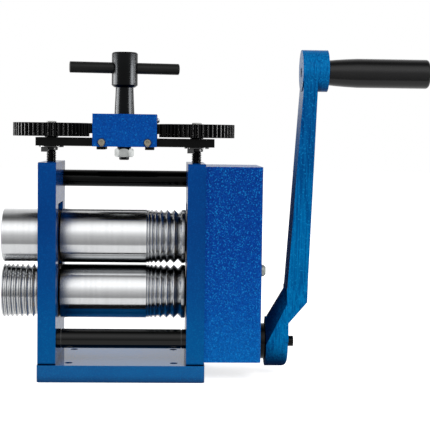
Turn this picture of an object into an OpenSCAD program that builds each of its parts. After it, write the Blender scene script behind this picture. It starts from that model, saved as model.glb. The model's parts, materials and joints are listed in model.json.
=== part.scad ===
// Hand cranked combination rolling mill for sheet and wire, with overhung extension rolls.
// Lengths are in millimetres. X runs along the rolls, Y is the feed direction and Z is up.
// The origin is the centre of the base plate's underside. The crank is on the +X side.

/* [Main rolls] */
// Diameter of the two main rolls
roll_d = 32.5; // [28:0.5:36]
// Length of the main rolls
roll_len = 75; // [60:1:100]
// Opening between the two rolls in the position shown
roll_nip = 1.1; // [1.05:0.05:1.5]
// Free space between a roll's end and the side plate
roll_side_gap = 0.5; // [0.3:0.1:1]
// Chamfer on the ends of the main and extension rolls
roll_chamfer = 0.6; // [0.3:0.1:1]
// Diameter of the journals that turn in the bearing blocks
journal_d = 18; // [16:0.5:19]
// Diameter of the stubs that carry the gears and the extension rolls
stub_d = 14; // [12:0.5:15]
// Number of square wire grooves in each main roll
wire_grooves = 7; // [3:1:7]
// Width of the widest square wire groove
wire_groove_w = 4.5; // [4.2:0.1:5]
// Difference in width between neighbouring wire grooves
wire_groove_step = 0.58; // [0.3:0.02:0.6]
// Plain land between the widest wire groove and the roll's end
wire_end_land = 2.3; // [1:0.1:4]

/* [Extension rolls] */
// How much smaller the extension rolls are than the main rolls in diameter
ext_step = 0.5; // [0.1:0.1:6]
// Length of the extension rolls
ext_len = 23; // [23:0.5:30]
// Number of half round grooves in the lower extension roll
bead_grooves = 7; // [3:1:7]
// Width of the widest half round groove
bead_groove_w = 3.55; // [2.8:0.05:3.6]
// Difference in width between neighbouring half round grooves
bead_groove_step = 0.27; // [0.25:0.01:0.35]
// Plain land between the widest half round groove and the roll's end
bead_end_land = 1.1; // [0.8:0.1:3]

/* [Base plate] */
// How far the base plate stands out beyond the side plates along X
base_lip_x = 0.5; // [0:0.1:20]
// How far the base plate stands out beyond the side plates along Y
base_lip_y = 0.5; // [0:0.1:20]
// Thickness of the base plate
base_t = 10; // [8:0.5:16]
// Diameter of the four bench bolt holes
bench_hole_d = 4.5; // [3:0.5:7]
// Distance between the bench bolt holes along X
bench_hole_span_x = 62; // [40:1:66]
// Distance between the bench bolt holes along Y
bench_hole_span_y = 45; // [30:1:50]

/* [Side plates] */
// Thickness of the two side plates
plate_t = 10.5; // [8:0.5:14]
// Depth of the side plates along Y
plate_d = 62; // [60:1:80]
// Height of the plate below the bearing window
sill_h = 25.4; // [24:0.1:32]
// Height of the plate above the bearing window, which holds the screw thread
head_h = 24.6; // [18:0.1:32]
// How much wider the bearing windows are than the rolls' diameter
window_over = 0.5; // [0.2:0.1:5]

/* [Bearing blocks] */
// Height of each bearing block
block_h = 29; // [24:0.5:32]
// Free height above the upper block when the rolls are fully open
lift_spare = 1.4; // [1:0.1:3]
// How far the upper roll rises from the position shown
lift_up = 4; // [2:0.5:4]

/* [Return springs] */
// Outer diameter of the four return springs
spring_d = 5; // [4.4:0.1:5.2]
// Wire diameter of the return springs
spring_wire_d = 0.8; // [0.6:0.05:1]
// Depth of the spring pockets in the blocks
spring_pocket_depth = 6; // [4:0.5:8]

/* [Tie rods] */
// Diameter of the upper tie rod at the back
upper_rod_d = 10.2; // [8:0.1:12]
// Diameter of the lower tie rod at the front
lower_rod_d = 11.4; // [8:0.1:12]
// Height of the upper tie rod below the plate tops
upper_rod_drop = 10.6; // [8:0.1:12]
// Height of the lower tie rod above the base plate
lower_rod_rise = 14.6; // [12:0.1:18]
// Distance of each tie rod's axis from the nearer plate edge
rod_inset = 8.5; // [8.2:0.1:9.5]

/* [Gear train] */
// Module of the crank pinion and drive gear
drive_module = 1.25; // [1.2:0.01:1.27]
// Teeth of the crank pinion
pinion_teeth = 14; // [13:1:15]
// Teeth of the drive gear on the lower roll
drive_teeth = 34; // [32:1:35]
// Face width of the drive gear
drive_gear_t = 10; // [6:0.5:12]
// Teeth of the two long toothed gears that couple the rolls
roll_gear_teeth = 12; // [11:1:12]
// Face width of the roll coupling gears
roll_gear_t = 12; // [8:0.5:14]
// Diameter of the crank shaft
shaft_d = 12; // [9:0.5:12]

/* [Gear cover] */
// Width of the gear cover along X
cover_w = 33.5; // [32:0.1:40]
// Distance of the cover's front and back from the plates' edges
cover_inset = 2.5; // [0.3:0.1:2.8]
// Wall of the gear cover
cover_wall = 1.6; // [1:0.1:1.8]
// Height of the cover's open lower edge above the base plate's top
cover_rise = 1.6; // [0.5:0.1:4]
// Distance of the cover's top below the plate tops
cover_top_drop = 1.4; // [0.5:0.1:6]
// Radius of the cover's outer vertical edges
cover_edge_r = 2; // [1:0.1:4]
// Diameter of the bearing flange on the outside of the cover
flange_d = 21.6; // [18:0.1:26]
// Thickness of the bearing flange on the outside of the cover
flange_t = 4.2; // [2:0.1:6]

/* [Crank arm] */
// Distance from the crank shaft to the grip's axis
crank_r = 163.4; // [130:0.5:190]
// Diameter of the arm's lower boss
arm_boss_d = 30; // [27:0.5:34]
// Thickness of the arm's lower boss along X
arm_boss_t = 13.3; // [12:0.1:18]
// Width of the arm along Y
arm_w = 22; // [18:0.5:24]
// Thickness of the arm just above the bend
arm_low_t = 12; // [9:0.1:14]
// Thickness of the arm below the upper boss
arm_top_t = 8.2; // [6:0.1:12]
// How far the bend carries the arm outwards
arm_jog = 12.5; // [8:0.1:16]
// How far the arm leans outwards from the bend to the grip's axis
arm_lean = 8.4; // [4:0.1:10]
// Diameter of the arm's upper boss
grip_boss_d = 25; // [22:0.5:30]
// Length of the arm's upper boss along X
grip_boss_len = 15.7; // [14:0.1:22]

/* [Grip] */
// Length of the rotating grip
grip_len = 61.6; // [50:0.1:90]
// Largest diameter of the grip
grip_d = 17.5; // [16:0.1:24]
// Diameter of the grip beside the arm
grip_neck_d = 14.9; // [12:0.1:16]
// Diameter of the fixed spindle inside the grip
grip_spindle_d = 8; // [6:0.1:8]

/* [Roll adjuster] */
// Outside diameter of the two adjusting screws
screw_d = 6; // [5:0.1:6.5]
// Free height between the plate tops and the bridge plate
bridge_rise = 9.5; // [8:0.1:14]
// Thickness of the bridge plate
bridge_t = 5; // [4:0.1:8]
// Distance of the bridge plate's ends beyond the adjusting screws
bridge_end = 9.35; // [8:0.05:16]
// Depth of the bridge plate's two arms along Y
bridge_d = 24; // [18:0.5:30]
// Teeth of each of the three adjuster gears
adjuster_teeth = 48; // [40:2:56]
// Face width of the adjuster gears
adjuster_gear_t = 8; // [5:0.1:9]
// Height of the gap between the side gears and the bridge plate
gear_hub_h = 0.7; // [0.5:0.1:2]
// Height that the screw ends stand above their gears
screw_proud = 1; // [0.3:0.1:3]
// Height of the gear housing
housing_h = 19.1; // [18.5:0.1:24]
// Wall of the gear housing
housing_wall = 1.5; // [1.2:0.1:2.5]
// How far the central gear stands out at each side of the housing
gear_peek = 4; // [3:0.1:4.5]
// Distance of the bridge plate's and the housing's middle from the spindle's axis
bridge_shift = 1; // [0:0.1:1]

/* [T handle] */
// Height of the T handle's hub above the housing
hub_rise = 16.2; // [8:0.1:30]
// Height of the hub
hub_h = 21; // [14:0.1:30]
// Diameter of the hub
hub_d = 15.6; // [13:0.1:20]
// Diameter of the stem under the hub
stem_top_d = 10.7; // [9:0.1:12]
// Diameter of the stem where it enters the housing
stem_low_d = 12; // [10:0.1:12.5]
// Diameter of the cross bar
t_bar_d = 6.7; // [5:0.1:8]
// Length of the cross bar
t_bar_len = 66; // [50:1:90]
// Height of the cross bar's axis below the hub's top
t_bar_drop = 9.5; // [7:0.1:10]

/* [Hidden] */
$fn = 96;
// Overrun of every cut past the face that it opens
cut = 1;
// Radial clearance of turning fits
run_fit = 0.05;
// Radial clearance of pieces that are fixed on each other
seat_fit = 0.02;
// Clearance of the blocks' sides in their windows
slide_fit = 0.1;
// Free space between pieces that turn past each other
turn_gap = 0.4;

// Land between neighbouring grooves
groove_land = 0.3;
// Narrowest groove that is cut
groove_min_w = 0.6;
// Corner radius of the base plate seen from above
base_corner_r = 2;
// Corner radius of the side plates seen from the side
plate_corner_r = 2;
// Chamfer of turned ends and bosses
small_chamfer = 0.8;
// Clearance holes stand off their screws by this much all round
hole_fit = 0.2;

// Diameter of the base and tie rod screws
frame_screw_d = 4;
// Length of thread of the frame screws beyond the first piece
frame_screw_grip = 11;
// Head diameter of the frame screws
frame_head_d = 8;
// Head height of the frame screws
frame_head_h = 2.4;
// Width across flats of the sockets in the frame screws
frame_socket = 2.5;
// Depth of the countersunk heads below the base plate's underside and the side plates' outer faces
head_sink = 0.3;
// Distance of the base screws from the plates' front and back edges
base_screw_inset = 13;
base_screw_y = plate_d / 2 - base_screw_inset;
// Width of the ring grooves near the ends of the lower tie rod
rod_ring_w = 0.5;
// Distance of the ring grooves from the side plates
rod_ring_x = 2.8;
// Depth of the ring grooves
rod_ring_depth = 0.4;

ext_d = roll_d - ext_step;
window_w = roll_d + window_over;
plate_in = roll_len / 2 + roll_side_gap;
plate_out = plate_in + plate_t;
plate_mid = (plate_in + plate_out) / 2;
base_w = 2 * (plate_out + base_lip_x);
base_d = plate_d + 2 * base_lip_y;
window_z0 = base_t + sill_h;
lower_axis_z = window_z0 + block_h / 2;
upper_axis_z = lower_axis_z + roll_d + roll_nip;
// The rolls close to a tenth of their opening in the position shown
closed_share = 0.1;
lift_down = roll_nip - closed_share * roll_nip;
block_gap = upper_axis_z - lower_axis_z - block_h;
window_z1 = upper_axis_z + block_h / 2 + lift_up + lift_spare;
plate_z1 = window_z1 + head_h;
upper_rod_z = plate_z1 - upper_rod_drop;
lower_rod_z = base_t + lower_rod_rise;
rod_y = plate_d / 2 - rod_inset;
block_w = window_w - 2 * slide_fit;

// Gear train
roll_gear_x0 = plate_out + turn_gap;
roll_gear_x1 = roll_gear_x0 + roll_gear_t;
// Outer diameter and thickness of the clips that hold the gears on their stubs
// Height that the clips stand out of the stubs
clip_height = 2.5;
gear_clip_d = stub_d + 2 * clip_height;
gear_clip_t = 1.5;
// Length of the stub beyond its clip
stub_end = 1;
upper_stub_x = roll_gear_x1 + gear_clip_t + stub_end;
drive_gear_x0 = upper_stub_x + turn_gap;
drive_gear_x1 = drive_gear_x0 + drive_gear_t;
lower_stub_x = drive_gear_x1 + gear_clip_t + stub_end;
drive_centres = drive_module * (pinion_teeth + drive_teeth) / 2;
shaft_z = lower_axis_z - drive_centres;
drive_tip_r = drive_module * (drive_teeth / 2 + 1);
// Pressure angle of the drive and adjuster gears
pressure_angle = 20;
// Pressure angle of the long teeth on the roll coupling gears
long_pressure_angle = 25;
// Backlash of the drive gears along the pitch circle
drive_backlash = 0.16;
// Backlash of the roll coupling gears along the pitch circle
roll_gear_backlash = 0.4;
// Backlash of the adjuster gears along the pitch circle
adjuster_backlash = 0.12;
// Free radial space under the roll gears' teeth with the rolls closed
roll_gear_root_gap = 0.4;
closed_centres = upper_axis_z - lower_axis_z - lift_down;
roll_gear_pitch_r = closed_centres / 2;
roll_gear_module = 2 * roll_gear_pitch_r / roll_gear_teeth;
// Tooth height above the pitch circle of the long teeth, as a share of the module
long_tooth_share = 1.05;
roll_gear_tip_r = roll_gear_pitch_r + long_tooth_share * roll_gear_module;
roll_gear_root_r = closed_centres - roll_gear_tip_r - roll_gear_root_gap;
// Depth of the clip grooves in the stubs
clip_groove = 0.8;
// Wall of the bush that carries the crank shaft in the right plate
bush_wall = 2;
bush_d = shaft_d + 2 * bush_wall;

// Gear cover
cover_d = plate_d - 2 * cover_inset;
cover_x1 = plate_out + cover_w;
cover_z0 = base_t + cover_rise;
cover_z1 = plate_z1 - cover_top_drop;
// Diameter of the cover's standoffs
standoff_d = 6;
// Free space between the standoffs and the cover's front and back walls
standoff_gap = 0.6;
standoff_y = cover_d / 2 - cover_wall - standoff_gap - standoff_d / 2;
// Height of the standoffs above the lower roll's axis, more where the drive gear needs it
standoff_rise = 15.8;
// Least free space between the standoffs and the drive gear's tips
standoff_gear_gap = 1.4;
standoff_reach = drive_tip_r + standoff_d / 2 + standoff_gear_gap;
standoff_z = lower_axis_z
    + max(standoff_rise, sqrt(max(0, pow(standoff_reach, 2) - pow(standoff_y, 2))));
// Sizes of the cover screws
cover_screw_d = 4;
cover_head_d = 7;
cover_head_h = 2.4;
cover_screw_len = 8;
// Length of the flange bush inside the cover
flange_inner_len = 2.4;

// Crank
arm_x0 = cover_x1 + flange_t + turn_gap / 2;
arm_x1 = arm_x0 + arm_boss_t;
// The inner side of the bend starts this much below the lower boss's top
jog_drop = 2.5;
jog_z0 = shaft_z + arm_boss_d / 2 - jog_drop;
// Height of the bend
jog_h = 21.5;
jog_z1 = jog_z0 + jog_h;
// The outer side of the bend starts this much below the lower boss's top
jog_outer_low = 2.2;
// The outer side of the bend ends lower than its inner side by this length
jog_outer_drop = 8.5;
// Depth and width of the chamfers along the bend's inner side, measured at the lower boss's front
jog_chamfer_h = 6.2;
jog_chamfer_w = 11;
// The chamfers end this much before the arm's inner side
jog_chamfer_stop = 0.3;
// Height above the bend's top where the arm reaches its own width
arm_taper_rise = 4;
grip_z = shaft_z + crank_r;
// The upper boss sits slightly above the grip's axis
boss_rise = 1;
boss_z = grip_z + boss_rise;
arm_in_low = arm_x0 + arm_jog;
arm_in_top = arm_in_low + arm_lean;
// How far the upper boss stands out on the inner side of the arm
boss_inner = 1.1;
boss_x0 = arm_in_top - boss_inner;
boss_x1 = boss_x0 + grip_boss_len;
// Radius of the lower boss's outer edge
arm_edge_r = 3;
// Length of the shaft's seat in the arm
arm_seat_len = 11;
// Sizes of the screw that holds the arm on the shaft
crank_screw_d = 4;
crank_head_d = 6.4;
crank_head_h = 4.2;
crank_screw_len = 9;
crank_socket = 3;

// Grip
grip_x0 = boss_x1 + turn_gap / 2;
grip_x1 = grip_x0 + grip_len;
// Length of the grip's taper beside the arm
grip_taper_len = 18;
// Radius of the grip's outer end
grip_end_r = 2;
// Sizes of the spindle's thread and of its head in the grip's end
spindle_thread_d = 6;
spindle_thread_len = 10;
spindle_head_d = 10.5;
spindle_head_h = 3;
// Depth of the recess in the grip's end
grip_recess = 4.5;
spindle_slot_w = 1.4;
spindle_slot_depth = 1.2;

// Roll adjuster
// Distance of the adjusting screws beyond the middle of the side plates' thickness
screw_out = 0.4;
screw_x = plate_mid + screw_out;
screw_tip_z = upper_axis_z + block_h / 2;
// Depth of the seat for the screw's tip in the upper block
tip_seat = 0.8;
// Free height under the screw's tip
tip_gap = 0.02;
bridge_z0 = plate_z1 + bridge_rise;
bridge_z1 = bridge_z0 + bridge_t;
side_gear_z0 = bridge_z1 + gear_hub_h;
side_gear_z1 = side_gear_z0 + adjuster_gear_t;
screw_end_z = side_gear_z1 + screw_proud;
adjuster_module = screw_x / adjuster_teeth;
adjuster_pitch_r = screw_x / 2;
adjuster_tip_r = adjuster_pitch_r + adjuster_module;
// Free space between the central gear and the housing's front and back
housing_gap = 0.45;
housing_in_y = adjuster_tip_r + housing_gap;
housing_w = 2 * (adjuster_tip_r - gear_peek);
housing_z1 = bridge_z0 + housing_h;
// Thickness of the thrust block between the bridge plate and the central gear
thrust_h = 2.4;
// Size of the thrust block along Y and its gap to the housing's sides
thrust_d = 24;
thrust_side_gap = 1.5;
// Height of the free space between the central gear and the thrust block
central_gear_rise = 0.2;
central_gear_z0 = bridge_z1 + thrust_h + central_gear_rise;
// The central gear ends this much below the side gears' tops
central_gear_drop = 0.1;
central_gear_z1 = side_gear_z1 - central_gear_drop;
// Sizes of the four housing screws at the front and back
housing_screw_d = 3;
housing_head_d = 5;
housing_head_h = 1.3;
housing_screw_len = 8;
housing_screw_inset = 5.35;
// Height of the housing screws above the bridge plate's underside
housing_screw_rise = bridge_t / 2;
// Sizes of the thrust block's screws, with their heads below the bridge plate
thrust_screw_d = 3;
thrust_head_d = 5.5;
thrust_head_h = 1.9;
thrust_screw_inset = 4.35;
// Distance of the thrust block's screws from its front and back edges
thrust_screw_edge = 3;
thrust_screw_y = thrust_d / 2 - thrust_screw_edge;
// Height of the plain bearing plate for the spindle inside the housing
bearing_h = 3.4;
// Depth of the bearing plate along Y
bearing_d = 22;
// Free space above the bearing plate
bearing_gap = 0.2;
bearing_z1 = housing_z1 - housing_wall - bearing_gap;
bearing_z0 = bearing_z1 - bearing_h;
// Sizes of the bearing plate's two side screws
side_screw_d = 2;
side_head_d = 3.1;
side_head_h = 1.4;
side_screw_len = 8;
// Size of the spindle bush's flange under the bridge plate
spindle_flange_d = 8.4;
spindle_flange_h = 1.2;

// T handle
spindle_low_d = 6;
spindle_seat_d = 8;
spindle_bush_d = 9;
nut_flats = 10;
nut_h = 5;
// Play of the spindle between its nut and the bush's flange
nut_play = 0.1;
nut_z1 = bridge_z0 - spindle_flange_h - nut_play;
nut_z0 = nut_z1 - nut_h;
// Length of the spindle below its nut
spindle_proud = 1.8;
hub_z0 = housing_z1 + hub_rise;
hub_z1 = hub_z0 + hub_h;
t_bar_z = hub_z1 - t_bar_drop;
// Height of the hub's lower chamfer
hub_chamfer_h = 1.3;

// Chamfer on the cross bar's ends
bar_chamfer = 0.4;
// Angle of the cross bar to the rolls in the position shown
t_bar_turn = 10;

// Adjusting screw collars and tab washers
washer_d = 14.8;
washer_t = 0.8;
// Width and length of the bent tab
washer_tab_w = 3.8;
washer_tab_h = 3.6;
// Free height between the tab washer and the bridge plate
washer_gap = 0.1;
washer_z1 = bridge_z0 - washer_gap;
washer_z0 = washer_z1 - washer_t;
collar_d = 7.8;
collar_h = 1.8;
// Diameter of the gear hubs above the bridge plate
screw_hub_d = 8;

// Return springs
spring_play = 0.5;
spring_pocket_d = spring_d + spring_play;
spring_y = (journal_d / 2 + block_w / 2) / 2;
spring_z0 = window_z0 + block_h - spring_pocket_depth;
spring_len = block_gap + 2 * spring_pocket_depth;
spring_curls = 6;
spring_rings = 8;
spring_sides = 6;

// Colours
paint_blue = [0.02, 0.30, 0.58];
hammer_blue = [0.05, 0.33, 0.66];
polished_steel = [0.78, 0.79, 0.80];
black_steel = [0.09, 0.09, 0.10];
gun_metal = [0.25, 0.26, 0.27];
zinc = [0.75, 0.74, 0.70];
bronze = [0.72, 0.52, 0.28];
gear_steel = [0.45, 0.46, 0.47];
plastic_black = [0.03, 0.03, 0.03];

// Involute of an angle, in degrees
function involute(angle) = tan(angle) * 180 / PI - angle;

// Half the angle that a tooth takes up at radius r
function half_tooth(r, pitch_r, teeth, pressure, backlash) =
    90 / teeth - backlash / (4 * pitch_r) * 180 / PI
    + involute(pressure) - involute(acos(min(1, pitch_r * cos(pressure) / r)));

function on_circle(r, angle) = [r * cos(angle), r * sin(angle)];

// Outline of an involute gear whose first tooth points at angle first
function gear_outline(teeth, pitch_r, tip_r, root_r, pressure, backlash, first, steps) =
    let (base_r = pitch_r * cos(pressure), foot_r = max(base_r, root_r))
    let (flank = [for (s = [0:steps]) foot_r + (tip_r - foot_r) * s / steps])
    let (below = root_r < base_r ? [root_r] : [])
    [
        for (i = [0:teeth - 1])
            let (centre = first + 360 * i / teeth)
            let (foot = half_tooth(foot_r, pitch_r, teeth, pressure, backlash))
            for (p = concat(
                [for (r = below) on_circle(r, centre - foot)],
                [for (r = flank) on_circle(r, centre - half_tooth(r, pitch_r, teeth, pressure, backlash))],
                [for (s = [0:steps]) let (r = flank[steps - s])
                    on_circle(r, centre + half_tooth(r, pitch_r, teeth, pressure, backlash))],
                [for (r = below) on_circle(r, centre + foot)]
            )) p
    ];

// Standard gear outline from its module
function module_gear(teeth, mod, backlash, first) =
    gear_outline(teeth, teeth * mod / 2, teeth * mod / 2 + mod, teeth * mod / 2 - dedendum_share * mod,
        pressure_angle, backlash, first, flank_steps);
dedendum_share = 1.25;
// Straight pieces in which a tooth's flank is drawn
flank_steps = 2;

function roll_gear(first) =
    gear_outline(roll_gear_teeth, roll_gear_pitch_r, roll_gear_tip_r, roll_gear_root_r,
        long_pressure_angle, roll_gear_backlash, first, flank_steps + 1);

// Distance of groove i's right edge from the end of the first land
function groove_run(i, widest, step) = i * (widest + groove_land) - step * i * (i - 1) / 2;

// Grooves that fit on a roll, widest first, each as its right edge and width
function grooves(count, widest, step, end_x, limit_x) = [
    for (i = [0:count - 1])
        let (w = widest - i * step, x1 = end_x - groove_run(i, widest, step))
        if (w > groove_min_w && x1 - w > limit_x) [x1, w]
];

wire_list = grooves(wire_grooves, wire_groove_w, wire_groove_step,
    roll_len / 2 - wire_end_land, roll_chamfer - roll_len / 2);
bead_list = grooves(bead_grooves, bead_groove_w, bead_groove_step,
    -plate_out - turn_gap - bead_end_land, roll_chamfer - plate_out - turn_gap - ext_len);

// Turned outline of a main roll with its journals and stubs, as radius and place along X
function roll_outline(left_x, right_x) = concat(
    [[0, left_x], [stub_d / 2 - small_chamfer, left_x], [stub_d / 2, left_x + small_chamfer],
        [stub_d / 2, -plate_out], [journal_d / 2, -plate_out], [journal_d / 2, -roll_len / 2],
        [roll_d / 2 - roll_chamfer, -roll_len / 2], [roll_d / 2, roll_chamfer - roll_len / 2]],
    [for (i = [len(wire_list) - 1:-1:0]) let (g = wire_list[i])
        for (p = [[roll_d / 2, g[0] - g[1]], [roll_d / 2 - g[1] / 2, g[0] - g[1] / 2],
            [roll_d / 2, g[0]]]) p],
    [[roll_d / 2, roll_len / 2 - roll_chamfer], [roll_d / 2 - roll_chamfer, roll_len / 2],
        [journal_d / 2, roll_len / 2], [journal_d / 2, plate_out], [stub_d / 2, plate_out],
        [stub_d / 2, right_x - small_chamfer], [stub_d / 2 - small_chamfer, right_x], [0, right_x]]
);

// Points and faces of one helical spring, an unbroken tube
function coil_centre(t) =
    let (r = spring_d / 2 - spring_wire_d / 2, a = 360 * spring_curls * t)
    [r * cos(a), r * sin(a), spring_wire_d / 2 + (spring_len - spring_wire_d) * t];
spring_steps = spring_curls * spring_rings;
spring_rise_angle = atan((spring_len - spring_wire_d) / spring_curls / (PI * (spring_d - spring_wire_d)));
coil_points = [
    for (i = [0:spring_steps])
        let (t = i / spring_steps, a = 360 * spring_curls * t, c = coil_centre(t))
        let (out = [cos(a), sin(a), 0])
        let (lean = sin(spring_rise_angle), up = [lean * sin(a), -lean * cos(a), cos(spring_rise_angle)])
        for (k = [0:spring_sides - 1])
            let (b = 360 * k / spring_sides)
            c + spring_wire_d / 2 * (cos(b) * out + sin(b) * up)
];
coil_faces = concat(
    [for (k = [1:spring_sides - 2]) [0, k, k + 1]],
    [for (i = [0:spring_steps - 1]) for (k = [0:spring_sides - 1])
        let (a = i * spring_sides + k, b = i * spring_sides + (k + 1) % spring_sides)
        for (f = [[a, a + spring_sides, b], [b, a + spring_sides, b + spring_sides]]) f],
    [for (k = [1:spring_sides - 2]) let (e = spring_steps * spring_sides) [e, e + k + 1, e + k]]
);
spring_gap = min([
    for (i = [0:spring_steps - spring_rings])
        norm(coil_centre((i + spring_rings) / spring_steps) - coil_centre(i / spring_steps)) - spring_wire_d
]);
echo(least_gap_between_spring_curls = spring_gap);

// A rod along X at a given height and place along Y
module x_rod(d, x0, x1, y, z) {
    translate([x0, y, z]) rotate([0, 90, 0]) cylinder(d = d, h = x1 - x0);
}

// A rod along Z from z0 to z1
module z_rod(d, x, y, z0, z1) {
    translate([x, y, z0]) cylinder(d = d, h = z1 - z0);
}

// A shape drawn in the YZ plane and extruded along X
module along_x(x0, x1) {
    translate([x0, 0, 0]) rotate([90, 0, 90]) linear_extrude(height = x1 - x0) children();
}

// A hexagonal socket along X
module x_socket(flats, x0, x1, y, z) {
    translate([x0, y, z]) rotate([0, 90, 0]) cylinder(d = flats / cos(30), h = x1 - x0, $fn = 6);
}

// A rectangle with round corners, centred on the origin
module round_rect(w, d, r) {
    square([w - 2 * r, d], center = true);
    square([w, d - 2 * r], center = true);
    for (x = [-1, 1]) for (y = [-1, 1])
        translate([x * (w / 2 - r), y * (d / 2 - r)]) circle(r = r);
}

// A button head screw with its head on the +X side of x
module x_button_screw(d, head_d, head_h, len, socket, x, y, z, side) {
    translate([x, y, z]) rotate([0, side * 90, 0]) difference() {
        union() {
            translate([0, 0, -len]) cylinder(d = d, h = len);
            rotate_extrude() polygon([[0, 0], [head_d / 2, 0], [head_d / 2, head_h / 2],
                [head_d / 2 - head_h / 2, head_h], [0, head_h]]);
        }
        translate([0, 0, head_h / 3]) cylinder(d = socket / cos(30), h = head_h, $fn = 6);
    }
}

module base_plate() {
    color(paint_blue) difference() {
        linear_extrude(height = base_t) round_rect(base_w, base_d, base_corner_r);
        for (x = [-1, 1]) for (y = [-1, 1])
            z_rod(bench_hole_d, x * bench_hole_span_x / 2, y * bench_hole_span_y / 2, -cut, base_t + cut);
        for (x = [-1, 1]) for (y = [-1, 1]) translate([x * plate_mid, y * base_screw_y, 0]) {
            z_rod(frame_screw_d + 2 * hole_fit, 0, 0, -cut, base_t + cut);
            z_rod(frame_head_d + 2 * hole_fit, 0, 0, -cut, head_sink);
            translate([0, 0, head_sink])
                cylinder(d1 = frame_head_d + 2 * hole_fit, d2 = frame_screw_d + 2 * hole_fit,
                    h = frame_head_h);
        }
    }
}

// The countersunk hole for a tie rod screw in a side plate
module rod_screw_hole(side, y, z) {
    translate([side * plate_out, y, z]) rotate([0, side * 90, 0]) {
        translate([0, 0, -plate_t - cut]) cylinder(d = frame_screw_d + 2 * hole_fit, h = plate_t + 2 * cut);
        translate([0, 0, -head_sink - frame_head_h])
            cylinder(d1 = frame_screw_d + 2 * hole_fit, d2 = frame_head_d + 2 * hole_fit, h = frame_head_h);
        translate([0, 0, -head_sink]) cylinder(d = frame_head_d + 2 * hole_fit, h = head_sink + cut);
    }
}

// One side plate; side is -1 for the left and 1 for the right
module side_plate(side) {
    color(paint_blue) difference() {
        translate([side * plate_mid, 0, (base_t + plate_z1) / 2])
            rotate([90, 0, 90]) linear_extrude(height = plate_t, center = true)
            round_rect(plate_d, plate_z1 - base_t, plate_corner_r);
        translate([side * plate_mid - plate_t / 2 - cut, -window_w / 2, window_z0])
            cube([plate_t + 2 * cut, window_w, window_z1 - window_z0]);
        z_rod(screw_d + 2 * run_fit, side * screw_x, 0, window_z1 - cut, plate_z1 + cut);
        for (y = [-1, 1])
            z_rod(frame_screw_d + 2 * seat_fit, side * plate_mid, y * base_screw_y,
                base_t - cut, base_t + frame_screw_grip + cut);
        rod_screw_hole(side, rod_y, upper_rod_z);
        rod_screw_hole(side, -rod_y, lower_rod_z);
        if (side > 0) {
            x_rod(bush_d + 2 * seat_fit, plate_in - cut, plate_out + cut, 0, shaft_z);
            for (y = [-1, 1])
                x_rod(cover_screw_d + 2 * seat_fit, plate_out - cover_screw_len, plate_out + cut,
                    y * standoff_y, standoff_z);
        }
    }
}

module left_side_plate() { side_plate(-1); }
module right_side_plate() { side_plate(1); }

module upper_tie_rod() {
    color(black_steel) difference() {
        x_rod(upper_rod_d, -plate_in, plate_in, rod_y, upper_rod_z);
        for (s = [-1, 1])
            x_rod(frame_screw_d + 2 * seat_fit, s * plate_in - frame_screw_grip - cut,
                s * plate_in + frame_screw_grip + cut, rod_y, upper_rod_z);
    }
}

module lower_tie_rod() {
    ring_r = lower_rod_d / 2 - rod_ring_depth;
    color(black_steel) difference() {
        x_rod(lower_rod_d, -plate_in, plate_in, -rod_y, lower_rod_z);
        for (s = [-1, 1]) {
            x_rod(frame_screw_d + 2 * seat_fit, s * plate_in - frame_screw_grip - cut,
                s * plate_in + frame_screw_grip + cut, -rod_y, lower_rod_z);
            difference() {
                x_rod(lower_rod_d + cut, s * (plate_in - rod_ring_x) - rod_ring_w / 2,
                    s * (plate_in - rod_ring_x) + rod_ring_w / 2, -rod_y, lower_rod_z);
                x_rod(2 * ring_r, s * (plate_in - rod_ring_x) - rod_ring_w,
                    s * (plate_in - rod_ring_x) + rod_ring_w, -rod_y, lower_rod_z);
            }
        }
    }
}

// A countersunk screw through a side plate into a tie rod
module rod_screw(side, y, z) {
    translate([side * plate_out, y, z]) rotate([0, side * 90, 0]) difference() {
        union() {
            translate([0, 0, -plate_t - frame_screw_grip])
                cylinder(d = frame_screw_d, h = plate_t + frame_screw_grip - head_sink);
            translate([0, 0, -head_sink - frame_head_h])
                cylinder(d1 = frame_screw_d, d2 = frame_head_d, h = frame_head_h);
        }
        translate([0, 0, -head_sink - frame_head_h])
            cylinder(d = frame_socket / cos(30), h = 2 * frame_head_h, $fn = 6);
    }
}

module tie_rod_screws() {
    color(black_steel) for (s = [-1, 1]) {
        rod_screw(s, rod_y, upper_rod_z);
        rod_screw(s, -rod_y, lower_rod_z);
    }
}

module base_screws() {
    color(zinc) for (x = [-1, 1]) for (y = [-1, 1]) translate([x * plate_mid, y * base_screw_y, 0])
        difference() {
            union() {
                z_rod(frame_screw_d, 0, 0, head_sink, base_t + frame_screw_grip);
                translate([0, 0, head_sink])
                    cylinder(d1 = frame_head_d, d2 = frame_screw_d, h = frame_head_h);
            }
            translate([0, 0, -cut])
                cylinder(d = frame_socket / cos(30), h = head_sink + frame_head_h, $fn = 6);
        }
}

// A bearing block centred at height z with its spring pockets on one side, up is 1 or -1
module bearing_block(side, z, pocket_side) {
    color(bronze) difference() {
        translate([side * plate_mid, 0, z]) cube([plate_t, block_w, block_h], center = true);
        x_rod(journal_d + 2 * run_fit, side * plate_mid - plate_t, side * plate_mid + plate_t, 0, z);
        for (y = [-1, 1])
            translate([side * plate_mid, y * spring_y, z + pocket_side * block_h / 2])
                cylinder(d = spring_pocket_d, h = 2 * spring_pocket_depth, center = true);
        if (pocket_side < 0)
            z_rod(screw_d + 2 * turn_gap, side * screw_x, 0, z + block_h / 2 - tip_seat, z + block_h);
    }
}

module left_lower_block() { bearing_block(-1, lower_axis_z, 1); }
module right_lower_block() { bearing_block(1, lower_axis_z, 1); }
module left_upper_block() { bearing_block(-1, upper_axis_z, -1); }
module right_upper_block() { bearing_block(1, upper_axis_z, -1); }

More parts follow.
